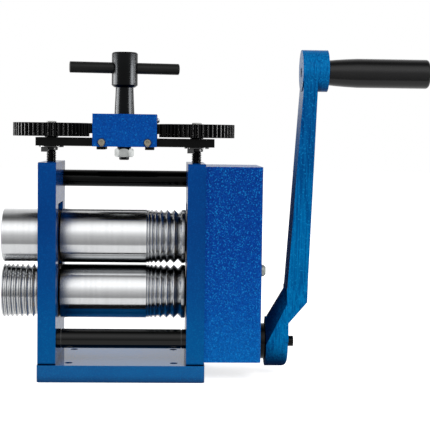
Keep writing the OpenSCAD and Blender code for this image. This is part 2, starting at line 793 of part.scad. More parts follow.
module return_springs() {
    color(gear_steel) for (x = [-1, 1]) for (y = [-1, 1])
        translate([x * plate_mid, y * spring_y, spring_z0])
            polyhedron(points = coil_points, faces = coil_faces);
}

module shaft_bush() {
    color(bronze) difference() {
        x_rod(bush_d, plate_in, plate_out, 0, shaft_z);
        x_rod(shaft_d + 2 * run_fit, plate_in - cut, plate_out + cut, 0, shaft_z);
    }
}

// Plan of the cover: square against the side plate, round at the outer edges
module cover_plan(x1, half_d, r) {
    translate([plate_out, -half_d]) square([x1 - r - plate_out, 2 * half_d]);
    translate([plate_out, r - half_d]) square([x1 - plate_out, 2 * (half_d - r)]);
    for (y = [-1, 1]) translate([x1 - r, y * (half_d - r)]) circle(r = r);
}

module gear_cover() {
    inner_r = max(cover_edge_r - cover_wall, cover_edge_r / 4);
    color(hammer_blue) difference() {
        translate([0, 0, cover_z0]) linear_extrude(height = cover_z1 - cover_z0)
            cover_plan(cover_x1, cover_d / 2, cover_edge_r);
        translate([-cover_wall, 0, cover_z0 - cut])
            linear_extrude(height = cover_z1 - cover_wall - cover_z0 + cut)
            cover_plan(cover_x1, cover_d / 2 - cover_wall, inner_r);
        x_rod(bush_d + 2 * seat_fit, cover_x1 - cover_wall - cut, cover_x1 + cut, 0, shaft_z);
        for (y = [-1, 1])
            x_rod(cover_screw_d + 2 * hole_fit, cover_x1 - cover_wall - cut, cover_x1 + cut,
                y * standoff_y, standoff_z);
    }
}

module cover_flange_bush() {
    color(black_steel) difference() {
        union() {
            x_rod(flange_d, cover_x1, cover_x1 + flange_t, 0, shaft_z);
            x_rod(bush_d, cover_x1 - cover_wall - flange_inner_len, cover_x1 + flange_t / 2, 0, shaft_z);
        }
        x_rod(shaft_d + 2 * run_fit, cover_x1 - cover_w, cover_x1 + flange_t + cut, 0, shaft_z);
    }
}

module cover_standoffs() {
    color(zinc) for (y = [-1, 1]) difference() {
        union() {
            x_rod(standoff_d, plate_out, cover_x1 - cover_wall, y * standoff_y, standoff_z);
            x_rod(cover_screw_d, plate_out - cover_screw_len, plate_out + cut, y * standoff_y, standoff_z);
        }
        x_rod(cover_screw_d + 2 * seat_fit, cover_x1 - cover_screw_len - cut, cover_x1,
            y * standoff_y, standoff_z);
    }
}

module cover_screws() {
    color(zinc) for (y = [-1, 1])
        x_button_screw(cover_screw_d, cover_head_d, cover_head_h, cover_screw_len, cover_screw_d / 2,
            cover_x1, y * standoff_y, standoff_z, 1);
}

// A main roll with its axis at height z
module main_roll(z, left_x, right_x) {
    color(polished_steel) difference() {
        translate([0, 0, z]) rotate([0, 90, 0]) rotate_extrude() polygon(roll_outline(left_x, right_x));
        clip_cut(z, right_x - stub_end);
        x_rod(ext_screw_d + 2 * seat_fit, left_x - cut, left_x + ext_screw_grip + cut, 0, z);
    }
}
// Sizes of the screws that hold the extension rolls
ext_screw_d = 6;
ext_screw_grip = 12;
ext_head_d = 10;
ext_head_h = 5;
ext_socket = 5;
// Depth of the recess for the screw's head
ext_recess = 6;
// Thickness of the extension roll between the screw's head and the stub
ext_web = 3;
// Length of the stub inside the extension roll
ext_seat_len = ext_len - ext_recess - ext_web;
ext_x1 = -plate_out - turn_gap;
ext_x0 = ext_x1 - ext_len;
ext_stub_x = ext_x1 - ext_seat_len;

// The groove for a gear clip whose outer face is at x1
module clip_cut(z, x1) {
    difference() {
        x_rod(stub_d + cut, x1 - gear_clip_t, x1, 0, z);
        x_rod(stub_d - 2 * clip_groove, x1 - gear_clip_t - cut, x1 + cut, 0, z);
    }
}

module upper_roll() { main_roll(upper_axis_z, ext_stub_x, upper_stub_x); }
module lower_roll() { main_roll(lower_axis_z, ext_stub_x, lower_stub_x); }

// An extension roll without grooves
module extension_blank(z) {
    difference() {
        translate([0, 0, z]) rotate([0, 90, 0]) rotate_extrude() polygon([
            [0, ext_x0], [ext_d / 2 - roll_chamfer, ext_x0], [ext_d / 2, ext_x0 + roll_chamfer],
            [ext_d / 2, ext_x1 - roll_chamfer], [ext_d / 2 - roll_chamfer, ext_x1], [0, ext_x1]]);
        x_rod(stub_d + 2 * seat_fit, ext_stub_x, ext_x1 + cut, 0, z);
        x_rod(ext_screw_d + 2 * hole_fit, ext_x0, ext_x1, 0, z);
        x_rod(ext_head_d + 2 * turn_gap, ext_x0 - cut, ext_x0 + ext_recess, 0, z);
    }
}

module upper_extension_roll() {
    color(polished_steel) extension_blank(upper_axis_z);
}

module lower_extension_roll() {
    color(polished_steel) difference() {
        extension_blank(lower_axis_z);
        for (g = bead_list) translate([g[0] - g[1] / 2, 0, lower_axis_z]) rotate([0, 90, 0])
            rotate_extrude() translate([ext_d / 2, 0]) circle(d = g[1], $fn = 48);
    }
}

// The cap screw that holds an extension roll on its stub
module extension_screw(z) {
    color(black_steel) difference() {
        union() {
            x_rod(ext_screw_d, ext_x0 + ext_recess - ext_head_h / 2, ext_stub_x + ext_screw_grip, 0, z);
            x_rod(ext_head_d, ext_x0 + ext_recess - ext_head_h, ext_x0 + ext_recess, 0, z);
        }
        x_socket(ext_socket, ext_x0, ext_x0 + ext_recess - ext_head_h / 2, 0, z);
    }
}

module upper_extension_screw() { extension_screw(upper_axis_z); }
module lower_extension_screw() { extension_screw(lower_axis_z); }

module upper_roll_gear() {
    color(gear_steel) difference() {
        translate([0, 0, upper_axis_z]) along_x(roll_gear_x0, roll_gear_x1)
            polygon(roll_gear(90 + 180 / roll_gear_teeth + (roll_gear_teeth % 2) * 180 / roll_gear_teeth));
        x_rod(stub_d + 2 * seat_fit, roll_gear_x0 - cut, roll_gear_x1 + cut, 0, upper_axis_z);
    }
}

module lower_roll_gear() {
    color(gear_steel) difference() {
        translate([0, 0, lower_axis_z]) along_x(roll_gear_x0, roll_gear_x1) polygon(roll_gear(90));
        x_rod(stub_d + 2 * seat_fit, roll_gear_x0 - cut, roll_gear_x1 + cut, 0, lower_axis_z);
    }
}

module drive_gear() {
    color(gear_steel) difference() {
        translate([0, 0, lower_axis_z]) along_x(drive_gear_x0, drive_gear_x1)
            polygon(module_gear(drive_teeth, drive_module, drive_backlash, 270 + 180 / drive_teeth));
        x_rod(stub_d + 2 * seat_fit, drive_gear_x0 - cut, drive_gear_x1 + cut, 0, lower_axis_z);
    }
}

// A clip on a roll's stub, outer face at x1
module gear_clip(z, x1) {
    color(black_steel) difference() {
        x_rod(gear_clip_d, x1 - gear_clip_t, x1, 0, z);
        x_rod(stub_d - 2 * clip_groove + 2 * seat_fit, x1 - gear_clip_t - cut, x1 + cut, 0, z);
        translate([x1 - gear_clip_t - cut, -stub_d / 4, z])
            cube([gear_clip_t + 2 * cut, stub_d / 2, gear_clip_d]);
    }
}

module upper_gear_clip() { gear_clip(upper_axis_z, upper_stub_x - stub_end); }
module lower_gear_clip() { gear_clip(lower_axis_z, lower_stub_x - stub_end); }

module crank_shaft() {
    color(gun_metal) difference() {
        x_rod(shaft_d, plate_in, arm_x0 + arm_seat_len, 0, shaft_z);
        x_rod(crank_screw_d + 2 * seat_fit, arm_x0 + arm_seat_len - crank_screw_len - cut,
            arm_x0 + arm_seat_len + cut, 0, shaft_z);
    }
}

module drive_pinion() {
    color(gear_steel) difference() {
        translate([0, 0, shaft_z]) along_x(drive_gear_x0, drive_gear_x1)
            polygon(module_gear(pinion_teeth, drive_module, drive_backlash, 90));
        x_rod(shaft_d + 2 * seat_fit, drive_gear_x0 - cut, drive_gear_x1 + cut, 0, shaft_z);
    }
}

// The arm seen from the front, as places along X and Z
arm_profile = [
    [arm_x0, shaft_z], [arm_x0, jog_z0], [arm_in_low, jog_z1], [arm_in_top, grip_z],
    [arm_in_top + arm_top_t, grip_z],
    [arm_in_low + arm_low_t, jog_z1 - jog_outer_drop],
    [arm_x1, shaft_z + arm_boss_d / 2 - jog_outer_low], [arm_x1, shaft_z]
];

// The arm seen from the side with its taper from the lower boss, as places along Y and Z
taper_touch = asin((arm_boss_d - arm_w) / 2 / (jog_z1 + arm_taper_rise - shaft_z));
arm_side = [
    [0, shaft_z], [-arm_boss_d / 2 * cos(taper_touch), shaft_z + arm_boss_d / 2 * sin(taper_touch)],
    [-arm_w / 2, jog_z1 + arm_taper_rise], [-arm_w / 2, grip_z], [arm_w / 2, grip_z],
    [arm_w / 2, jog_z1 + arm_taper_rise],
    [arm_boss_d / 2 * cos(taper_touch), shaft_z + arm_boss_d / 2 * sin(taper_touch)]
];

// What the chamfer on one inner edge of the bend takes off, side is -1 at the front and 1 at the back
module bend_chamfer(side) {
    bend_angle = atan(arm_jog / jog_h);
    bend_len = norm([arm_jog, jog_h]);
    chamfer_tilt = atan(jog_chamfer_h / jog_chamfer_w);
    intersection() {
        translate([arm_x0, 0, jog_z0]) rotate([0, bend_angle, 0])
            translate([0, side * (arm_boss_d / 2 - jog_chamfer_w), 0]) rotate([0, 0, -side * chamfer_tilt])
            translate([-arm_boss_d, -arm_boss_d, -arm_boss_d / 2])
            cube([arm_boss_d, 2 * arm_boss_d, bend_len + arm_boss_d]);
        translate([arm_x0 + arm_jog - jog_chamfer_stop - arm_boss_d, -arm_boss_d, shaft_z])
            cube([arm_boss_d, 2 * arm_boss_d, arm_boss_d + jog_h]);
    }
}

module crank_arm() {
    color(hammer_blue) difference() {
        union() {
            intersection() {
                rotate([90, 0, 0]) linear_extrude(height = arm_boss_d + cut, center = true)
                    polygon(arm_profile);
                along_x(arm_x0 - cut, boss_x1) polygon(arm_side);
            }
            translate([0, 0, shaft_z]) rotate([0, 90, 0]) rotate_extrude() {
                translate([0, arm_x0]) square([arm_boss_d / 2, arm_boss_t - arm_edge_r]);
                translate([0, arm_x0]) square([arm_boss_d / 2 - arm_edge_r, arm_boss_t]);
                intersection() {
                    translate([0, arm_x0]) square([arm_boss_d / 2, arm_boss_t]);
                    translate([arm_boss_d / 2 - arm_edge_r, arm_x1 - arm_edge_r]) circle(r = arm_edge_r);
                }
            }
            x_rod(grip_boss_d, boss_x0, boss_x1, 0, boss_z);
        }
        for (side = [-1, 1]) bend_chamfer(side);
        x_rod(shaft_d + 2 * seat_fit, arm_x0 - cut, arm_x0 + arm_seat_len, 0, shaft_z);
        x_rod(crank_screw_d + 2 * hole_fit, arm_x0, arm_x1 + cut, 0, shaft_z);
        x_rod(spindle_thread_d + 2 * seat_fit, boss_x0 - cut, boss_x1 + cut, 0, grip_z);
    }
}

module crank_screw() {
    color(black_steel) difference() {
        union() {
            x_rod(crank_screw_d, arm_x0 + arm_seat_len - crank_screw_len, arm_x1 + crank_head_h / 2,
                0, shaft_z);
            x_rod(crank_head_d, arm_x1, arm_x1 + crank_head_h, 0, shaft_z);
        }
        x_socket(crank_socket, arm_x1 + crank_head_h / 2, arm_x1 + crank_head_h + cut, 0, shaft_z);
    }
}

module grip_spindle() {
    head_x0 = grip_x1 - grip_recess;
    color(gun_metal) difference() {
        union() {
            x_rod(spindle_thread_d, boss_x1 - spindle_thread_len, boss_x1 + cut, 0, grip_z);
            x_rod(grip_spindle_d, boss_x1, head_x0 + turn_gap, 0, grip_z);
            x_rod(spindle_head_d, head_x0 + turn_gap, head_x0 + turn_gap + spindle_head_h, 0, grip_z);
        }
        translate([head_x0 + turn_gap + spindle_head_h - spindle_slot_depth, -spindle_slot_w / 2,
            grip_z - spindle_head_d])
            cube([spindle_slot_depth + cut, spindle_slot_w, 2 * spindle_head_d]);
    }
}

module grip() {
    color(plastic_black) difference() {
        translate([0, 0, grip_z]) rotate([0, 90, 0]) rotate_extrude() {
            polygon([[0, grip_x0], [grip_neck_d / 2 - small_chamfer, grip_x0],
                [grip_neck_d / 2, grip_x0 + small_chamfer], [grip_d / 2, grip_x0 + grip_taper_len],
                [grip_d / 2, grip_x1 - grip_end_r], [grip_d / 2 - grip_end_r, grip_x1 - grip_end_r],
                [grip_d / 2 - grip_end_r, grip_x1], [0, grip_x1]]);
            intersection() {
                translate([0, grip_x1 - 2 * grip_end_r]) square([grip_d / 2, 2 * grip_end_r]);
                translate([grip_d / 2 - grip_end_r, grip_x1 - grip_end_r]) circle(r = grip_end_r);
            }
        }
        x_rod(grip_spindle_d + 2 * run_fit, grip_x0 - cut, grip_x1 + cut, 0, grip_z);
        x_rod(spindle_head_d + 2 * turn_gap, grip_x1 - grip_recess, grip_x1 + cut, 0, grip_z);
    }
}

bridge_half = screw_x + bridge_end;
bridge_corner_r = 1;

module bridge_plate() {
    color(black_steel) difference() {
        translate([0, 0, bridge_z0]) linear_extrude(height = bridge_t) {
            translate([bridge_shift, 0]) round_rect(2 * bridge_half, bridge_d, bridge_corner_r);
            translate([bridge_shift, 0]) square([housing_w, 2 * housing_in_y], center = true);
        }
        for (s = [-1, 1])
            z_rod(screw_d + 2 * run_fit, s * screw_x, 0, bridge_z0 - cut, bridge_z1 + cut);
        z_rod(spindle_bush_d + 2 * seat_fit, 0, 0, bridge_z0 - cut, bridge_z1 + cut);
        for (x = [-1, 1]) for (y = [-1, 1]) {
            z_rod(thrust_screw_d + 2 * hole_fit, bridge_shift + x * (housing_w / 2 - thrust_screw_inset),
                y * thrust_screw_y, bridge_z0 - cut, bridge_z1 + cut);
            y_hole(bridge_shift + x * (housing_w / 2 - housing_screw_inset), y);
        }
    }
}

// A tapped hole in the front or back edge of the bridge plate
module y_hole(x, side) {
    translate([x, side * housing_in_y, bridge_z0 + housing_screw_rise]) rotate([90, 0, 0])
        cylinder(d = housing_screw_d + 2 * seat_fit, h = 2 * housing_screw_len, center = true);
}

module adjuster_housing() {
    color(hammer_blue) difference() {
        translate([bridge_shift - housing_w / 2, -housing_in_y - housing_wall, bridge_z0])
            cube([housing_w, 2 * (housing_in_y + housing_wall), housing_h]);
        translate([bridge_shift + housing_wall - housing_w / 2, -housing_in_y, bridge_z0 - cut])
            cube([housing_w - 2 * housing_wall, 2 * housing_in_y, housing_h - housing_wall + cut]);
        translate([-housing_w, -housing_in_y, bridge_z0 - cut])
            cube([2 * housing_w, 2 * housing_in_y, side_gear_z1 + turn_gap - bridge_z0 + cut]);
        z_rod(stem_low_d + 2 * turn_gap, 0, 0, bridge_z0, housing_z1 + cut);
        for (x = [-1, 1]) for (y = [-1, 1])
            y_hole(bridge_shift + x * (housing_w / 2 - housing_screw_inset), y);
        x_rod(side_screw_d + 2 * hole_fit, -housing_w, housing_w, 0, (bearing_z0 + bearing_z1) / 2);
    }
}

module housing_screws() {
    color(zinc) for (x = [-1, 1]) for (y = [-1, 1])
        translate([bridge_shift + x * (housing_w / 2 - housing_screw_inset),
            y * (housing_in_y + housing_wall), bridge_z0 + housing_screw_rise]) rotate([-y * 90, 0, 0])
        difference() {
            union() {
                translate([0, 0, -housing_screw_len]) cylinder(d = housing_screw_d, h = housing_screw_len);
                cylinder(d1 = housing_head_d, d2 = housing_head_d - housing_head_h, h = housing_head_h);
            }
            translate([0, 0, housing_head_h / 3])
                cylinder(d = housing_screw_d / 2 / cos(30), h = housing_head_h, $fn = 6);
        }
}

module thrust_block() {
    half_w = housing_w / 2 - thrust_side_gap;
    color(gear_steel) difference() {
        translate([bridge_shift - half_w, -thrust_d / 2, bridge_z1]) cube([2 * half_w, thrust_d, thrust_h]);
        z_rod(spindle_low_d + 2 * run_fit, 0, 0, bridge_z1 - cut, bridge_z1 + thrust_h + cut);
        for (x = [-1, 1]) for (y = [-1, 1])
            z_rod(thrust_screw_d + 2 * seat_fit, bridge_shift + x * (housing_w / 2 - thrust_screw_inset),
                y * thrust_screw_y, bridge_z1 - cut, bridge_z1 + thrust_h + cut);
    }
}

module thrust_block_screws() {
    color(black_steel) for (x = [-1, 1]) for (y = [-1, 1])
        translate([bridge_shift + x * (housing_w / 2 - thrust_screw_inset), y * thrust_screw_y, bridge_z0])
        difference() {
            union() {
                z_rod(thrust_screw_d, 0, 0, -thrust_head_h / 2, bridge_t + thrust_h);
                z_rod(thrust_head_d, 0, 0, -thrust_head_h, 0);
            }
            translate([0, 0, -thrust_head_h - cut])
                cylinder(d = thrust_screw_d * cos(30), h = thrust_head_h / 2 + cut, $fn = 6);
        }
}

module spindle_bearing() {
    half_w = housing_w / 2 - housing_wall;
    color(bronze) difference() {
        translate([bridge_shift - half_w, -bearing_d / 2, bearing_z0])
            cube([2 * half_w, bearing_d, bearing_h]);
        z_rod(stem_low_d + 2 * run_fit, 0, 0, bearing_z0 - cut, bearing_z1 + cut);
        x_rod(side_screw_d + 2 * seat_fit, -housing_w, housing_w, 0, (bearing_z0 + bearing_z1) / 2);
    }
}

module spindle_bearing_screws() {
    color(zinc) for (s = [-1, 1])
        x_button_screw(side_screw_d, side_head_d, side_head_h, side_screw_len, side_screw_d / 2,
            bridge_shift + s * housing_w / 2, 0, (bearing_z0 + bearing_z1) / 2, s);
}

module spindle_bush() {
    color(black_steel) difference() {
        union() {
            z_rod(spindle_bush_d, 0, 0, bridge_z0, bridge_z1);
            z_rod(spindle_flange_d, 0, 0, bridge_z0 - spindle_flange_h, bridge_z0 + cut);
        }
        z_rod(spindle_low_d + 2 * run_fit, 0, 0, bridge_z0 - spindle_flange_h - cut, bridge_z1 + cut);
    }
}

// Turned outline of the T handle's spindle, as radius and height
spindle_outline = [
    [0, nut_z0 - spindle_proud],
    [spindle_low_d / 2 - small_chamfer / 2, nut_z0 - spindle_proud],
    [spindle_low_d / 2, nut_z0 - spindle_proud + small_chamfer / 2],
    [spindle_low_d / 2, central_gear_z0],
    [spindle_seat_d / 2, central_gear_z0],
    [spindle_seat_d / 2, central_gear_z1],
    [stem_low_d / 2, central_gear_z1],
    [stem_low_d / 2, housing_z1 + turn_gap],
    [stem_top_d / 2, hub_z0],
    [stem_top_d / 2 + small_chamfer, hub_z0],
    [hub_d / 2, hub_z0 + hub_chamfer_h],
    [hub_d / 2, hub_z1 - small_chamfer],
    [hub_d / 2 - small_chamfer, hub_z1],
    [0, hub_z1]
];

module t_handle_spindle() {
    color(gun_metal) difference() {
        rotate_extrude() polygon(spindle_outline);
        rotate([0, 0, t_bar_turn]) x_rod(t_bar_d + 2 * seat_fit, -hub_d, hub_d, 0, t_bar_z);
    }
}

module t_bar() {
    color(black_steel) translate([0, 0, t_bar_z]) rotate([0, 90, t_bar_turn]) rotate_extrude() polygon([
        [0, -t_bar_len / 2], [t_bar_d / 2 - bar_chamfer, -t_bar_len / 2],
        [t_bar_d / 2, bar_chamfer - t_bar_len / 2], [t_bar_d / 2, t_bar_len / 2 - bar_chamfer],
        [t_bar_d / 2 - bar_chamfer, t_bar_len / 2], [0, t_bar_len / 2]]);
}

// An adjuster gear with its bore
module adjuster_gear(x, z0, z1, bore_d, first) {
    difference() {
        translate([x, 0, z0]) linear_extrude(height = z1 - z0)
            polygon(module_gear(adjuster_teeth, adjuster_module, adjuster_backlash, first));
        z_rod(bore_d + 2 * seat_fit, x, 0, z0 - cut, z1 + cut);
    }
}

module central_gear() {
    color(black_steel)
        adjuster_gear(0, central_gear_z0, central_gear_z1, spindle_seat_d, 180 / adjuster_teeth);
}

module spindle_nut() {
    color(zinc) difference() {
        intersection() {
            translate([0, 0, nut_z0]) cylinder(d = nut_flats / cos(30), h = nut_h, $fn = 6);
            union() {
                translate([0, 0, nut_z0]) cylinder(d1 = nut_flats, d2 = nut_flats + nut_h, h = nut_h / 2);
                translate([0, 0, nut_z0 + nut_h / 2])
                    cylinder(d1 = nut_flats + nut_h, d2 = nut_flats, h = nut_h / 2);
            }
        }
        z_rod(spindle_low_d + 2 * seat_fit, 0, 0, nut_z0 - cut, nut_z1 + cut);
    }
}

module adjusting_screw(side) {
    tip_z = screw_tip_z - tip_seat + tip_gap;
    color(black_steel) translate([side * screw_x, 0, 0]) rotate_extrude() polygon([
        [0, tip_z], [screw_d / 2 - small_chamfer, tip_z], [screw_d / 2, tip_z + small_chamfer],
        [screw_d / 2, washer_z0 - collar_h], [collar_d / 2, washer_z0 - collar_h],
        [collar_d / 2, washer_z0], [screw_d / 2, washer_z0],
        [screw_d / 2, screw_end_z - small_chamfer / 2], [screw_d / 2 - small_chamfer / 2, screw_end_z],
        [0, screw_end_z]]);
}

module left_adjusting_screw() { adjusting_screw(-1); }
module right_adjusting_screw() { adjusting_screw(1); }

// A side gear with the short hub that stands on the bridge plate
module screw_gear(side) {
    hub_z = bridge_z1 + turn_gap / 4;
    color(black_steel) union() {
        adjuster_gear(side * screw_x, side_gear_z0, side_gear_z1, screw_d, 0);
        difference() {
            z_rod(screw_hub_d, side * screw_x, 0, hub_z, side_gear_z0 + cut);
            z_rod(screw_d + 2 * seat_fit, side * screw_x, 0, bridge_z1 - cut, side_gear_z1);
        }
    }
}

module left_screw_gear() { screw_gear(-1); }
module right_screw_gear() { screw_gear(1); }

// The tab starts this many tab widths to the left of the screw
tab_place_share = 1.5;

// A washer under the bridge plate with one tab bent down
module tab_washer(side) {
    tab_y = sqrt(pow(washer_d / 2, 2) - pow(washer_tab_w, 2)) - 2 * washer_t;
    color(black_steel) difference() {
        union() {
            z_rod(washer_d, side * screw_x, 0, washer_z0, washer_z1);
            translate([side * screw_x - tab_place_share * washer_tab_w, -tab_y, washer_z1 - washer_tab_h])
                cube([washer_tab_w, washer_t, washer_tab_h]);
        }
        z_rod(screw_d + 2 * seat_fit, side * screw_x, 0, washer_z0 - cut, washer_z1 + cut);
    }
}

module left_tab_washer() { tab_washer(-1); }
module right_tab_washer() { tab_washer(1); }

base_plate();
left_side_plate();
right_side_plate();
upper_tie_rod();
lower_tie_rod();
tie_rod_screws();
base_screws();
left_lower_block();
right_lower_block();
return_springs();
shaft_bush();
gear_cover();
cover_flange_bush();
cover_standoffs();
cover_screws();
left_upper_block();
right_upper_block();
upper_roll();
upper_extension_roll();
upper_extension_screw();
upper_roll_gear();
upper_gear_clip();
lower_roll();
lower_extension_roll();
lower_extension_screw();
lower_roll_gear();
drive_gear();
lower_gear_clip();
crank_shaft();
drive_pinion();
crank_arm();
crank_screw();
grip_spindle();
grip();
bridge_plate();
adjuster_housing();
housing_screws();
thrust_block();
thrust_block_screws();
spindle_bearing();
spindle_bearing_screws();
spindle_bush();
t_handle_spindle();
t_bar();
central_gear();
spindle_nut();
left_adjusting_screw();
left_screw_gear();
left_tab_washer();
right_adjusting_screw();
right_screw_gear();
right_tab_washer();
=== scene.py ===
import bpy
import bmesh
import json
import math
from mathutils import Matrix, Vector


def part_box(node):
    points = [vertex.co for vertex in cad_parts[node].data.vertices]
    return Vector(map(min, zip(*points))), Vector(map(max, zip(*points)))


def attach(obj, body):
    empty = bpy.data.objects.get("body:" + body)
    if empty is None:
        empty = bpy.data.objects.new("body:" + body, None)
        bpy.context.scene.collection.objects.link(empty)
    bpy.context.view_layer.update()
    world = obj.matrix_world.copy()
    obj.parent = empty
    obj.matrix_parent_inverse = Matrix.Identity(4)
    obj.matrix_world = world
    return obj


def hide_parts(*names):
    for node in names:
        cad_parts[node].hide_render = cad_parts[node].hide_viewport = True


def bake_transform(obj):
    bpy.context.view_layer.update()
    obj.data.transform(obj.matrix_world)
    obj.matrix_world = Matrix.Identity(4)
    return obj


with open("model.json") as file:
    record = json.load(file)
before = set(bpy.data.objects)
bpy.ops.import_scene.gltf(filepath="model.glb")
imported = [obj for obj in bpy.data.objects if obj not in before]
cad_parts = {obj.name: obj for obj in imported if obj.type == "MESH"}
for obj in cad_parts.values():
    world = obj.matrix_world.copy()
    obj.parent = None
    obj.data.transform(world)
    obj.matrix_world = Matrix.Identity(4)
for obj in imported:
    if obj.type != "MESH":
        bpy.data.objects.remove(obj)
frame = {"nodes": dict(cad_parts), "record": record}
nodes = frame["nodes"]
bodies = frame["record"]["behaviour"]["bodies"]
slots = {s["node"]: s["material_slot"] for s in frame["record"]["subparts"]}
body_of = {n: b for b, members in bodies.items() for n in members}
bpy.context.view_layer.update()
scene = bpy.context.scene
scene.view_settings.view_transform = "Standard"
MM = 0.001

# Camera fitted to the photograph: pixels, then a sensor in millimetres, radians and a place in millimetres
FOCAL, PICTURE, SENSOR = 1201.26, 430, 36
YAW, PITCH, ROLL = -0.0416, 0.0672, 0.0128
EYE = (25.02, -726.12, 145.55)

# Axes and sizes of turned pieces in millimetres, and the cross bar's turn in degrees; R stands for a radius
UPPER_AXIS, LOWER_AXIS, GRIP_AXIS = 83.5, 49.9, 183.3
UPPER_ROD_PLACE, LOWER_ROD_PLACE = (0, 22.5, 117.4), (0, -22.5, 24.6)
UPPER_ROD_R, LOWER_ROD_R = 5.1, 5.7
ROD_RING, ROD_RING_DEPTH = 35.2, 0.4
ROLL_R, ROLL_HALF, EXTENSION_R, ROLL_CHAMFER = 16.25, 37.5, 16, 0.6
JOURNAL_R, JOURNAL_END = 9, 48.5
SHAFT_R, SHAFT_CHAMFER = 7, 0.8
EXTENSION_BORE, EXTENSION_BORE_DEPTH, EXTENSION_SEAT = 5.4, 6, 7.02
GROOVES, GROOVE_LAND = 7, 0.3
# Width of the widest groove, how much narrower each next one is, and how far the widest is from the roll's end
SQUARE_GROOVES = (4.5, 0.58, 2.3)
ROUND_GROOVES = (3.55, 0.27, 1.1)
HUB_R, HUB_FOOT, STEM_R = 7.8, 16.2, 5.35
BAR_R, BAR_HALF, BAR_TURN = 3.35, 33.0, 10
GRIP_R, GRIP_BORE, GRIP_RECESS = 8.75, 4.05, 5.65
SCREW_X, SCREW_R, COLLAR = 43.65, 3, 134.8
THREAD_PITCH, THREAD_DEPTH, THREAD_CREST = 1.0, 0.55, 0.12

# How copies of CAD nodes are cleaned and shaded: metres, then angles in degrees
SAME_PLACE = 2e-6
FLAT_ANGLE, EDGE_ANGLE, SMOOTH_ANGLE = 0.4, 30, 32

# Where noise is cut off before it sets a tone or a roughness, and what paint refracts
NOISE_LOW, NOISE_HIGH = 0.3, 0.7
PAINT_IOR = 1.5

# Reflections and light; the sides' tone comes in between two shares of a ray's direction
FLOOR_HALF, FLOOR_WHITE, FLOOR_GLOW = 4, 0.8, 0.75
FLOOR_FRONT = -1.5
FLOOR_TONES = ((0.0, 0.96), (0.078, 0.98), (0.083, 0.36), (0.115, 0.4), (0.21, 0.5), (0.6, 0.62))
ROOM = 0.5
MIRROR = 1.5
SIDES, SIDES_FROM, SIDES_FULL = 0.75, 0.7, 0.95
# Degrees from level in front, over the top and on to the back, each with the grey that is mirrored there
REFLECTED = (
    (0, 0.43), (5, 0.48), (15, 0.66), (26, 0.93), (34, 1.0), (44, 0.95), (52, 0.84), (62, 0.56), (72, 0.2),
    (85, 0.08), (100, 0.16), (115, 0.38), (135, 0.5), (155, 0.68),
)
# Name, place, what it points at, size in metres and power in watts
LAMPS = (
    ("left_box", (-1.25, 0.05, 0.16), (0, 0, 0.16), (1.0, 0.3), 26),
    ("right_box", (1.25, -0.2, 0.16), (0, 0, 0.16), (1.1, 0.3), 38),
    ("key", (0.5, -1.2, 0.9), (0.05, 0, 0.08), (0.9, 0.7), 12),
    ("back", (-0.5, 1.3, 0.9), (0, 0, 0.08), (0.9, 0.7), 7),
)
# The only pieces that the two side boxes light
LIT_FROM_SIDES = (
    "t_handle_turned", "central_gear_skin", "left_screw_gear_skin", "right_screw_gear_skin",
    "left_tab_washer_skin", "right_tab_washer_skin", "left_screw_threaded", "right_screw_threaded",
)


def link(obj):
    scene.collection.objects.link(obj)
    return obj


def make_camera():
    """The camera, placed as the photograph was taken."""
    data = bpy.data.cameras.new("camera")
    data.lens = FOCAL * SENSOR / PICTURE
    data.sensor_width = SENSOR
    data.clip_start, data.clip_end = 0.01, 50
    cam = link(bpy.data.objects.new("camera", data))
    forward = Vector((-math.sin(YAW) * math.cos(PITCH), math.cos(YAW) * math.cos(PITCH), -math.sin(PITCH)))
    level = Vector((math.cos(YAW), math.sin(YAW), 0))
    rise = level.cross(forward)
    right = math.cos(ROLL) * level + math.sin(ROLL) * rise
    up = -math.sin(ROLL) * level + math.cos(ROLL) * rise
    place = Matrix((right, up, -forward)).transposed().to_4x4()
    place.translation = Vector(EYE) * MM
    cam.matrix_world = place
    scene.camera = cam


make_camera()


# Nodes of materials and of the world
def add_node(tree, kind, operation=None, **values):
    """A node with its sockets set or linked; a key is a socket's name, or i and the socket's number."""
    n = tree.nodes.new(kind)
    if operation:
        n.operation = operation
    for key, value in values.items():
        numbered = key[0] == "i" and key[1:].isdigit()
        socket = n.inputs[int(key[1:]) if numbered else key.replace("_", " ")]
        if isinstance(value, bpy.types.NodeSocket):
            tree.links.new(value, socket)
        else:
            socket.default_value = value
    return n


def fill_ramp(n, stops):
    """Gives a ramp node its stops, pairs of place and grey or colour."""
    e = n.color_ramp.elements
    while len(e) < len(stops):
        e.new(0.5)
    for i, (place, tone) in enumerate(stops):
        e[i].position = place
        e[i].color = (*tone, 1) if isinstance(tone, tuple) else (tone, tone, tone, 1)
    return n.outputs["Color"]


def mix_colors(tree, fac, a, b, mode="MIX"):
    """A mix of colours; the sockets go by number, because those of other types have the same names."""
    n = tree.nodes.new("ShaderNodeMix")
    n.data_type = "RGBA"
    n.blend_type = mode
    for number, value in ((0, fac), (6, a), (7, b)):
        if isinstance(value, bpy.types.NodeSocket):
            tree.links.new(value, n.inputs[number])
        else:
            n.inputs[number].default_value = value if number == 0 else (*value, 1)
    return n.outputs[2]


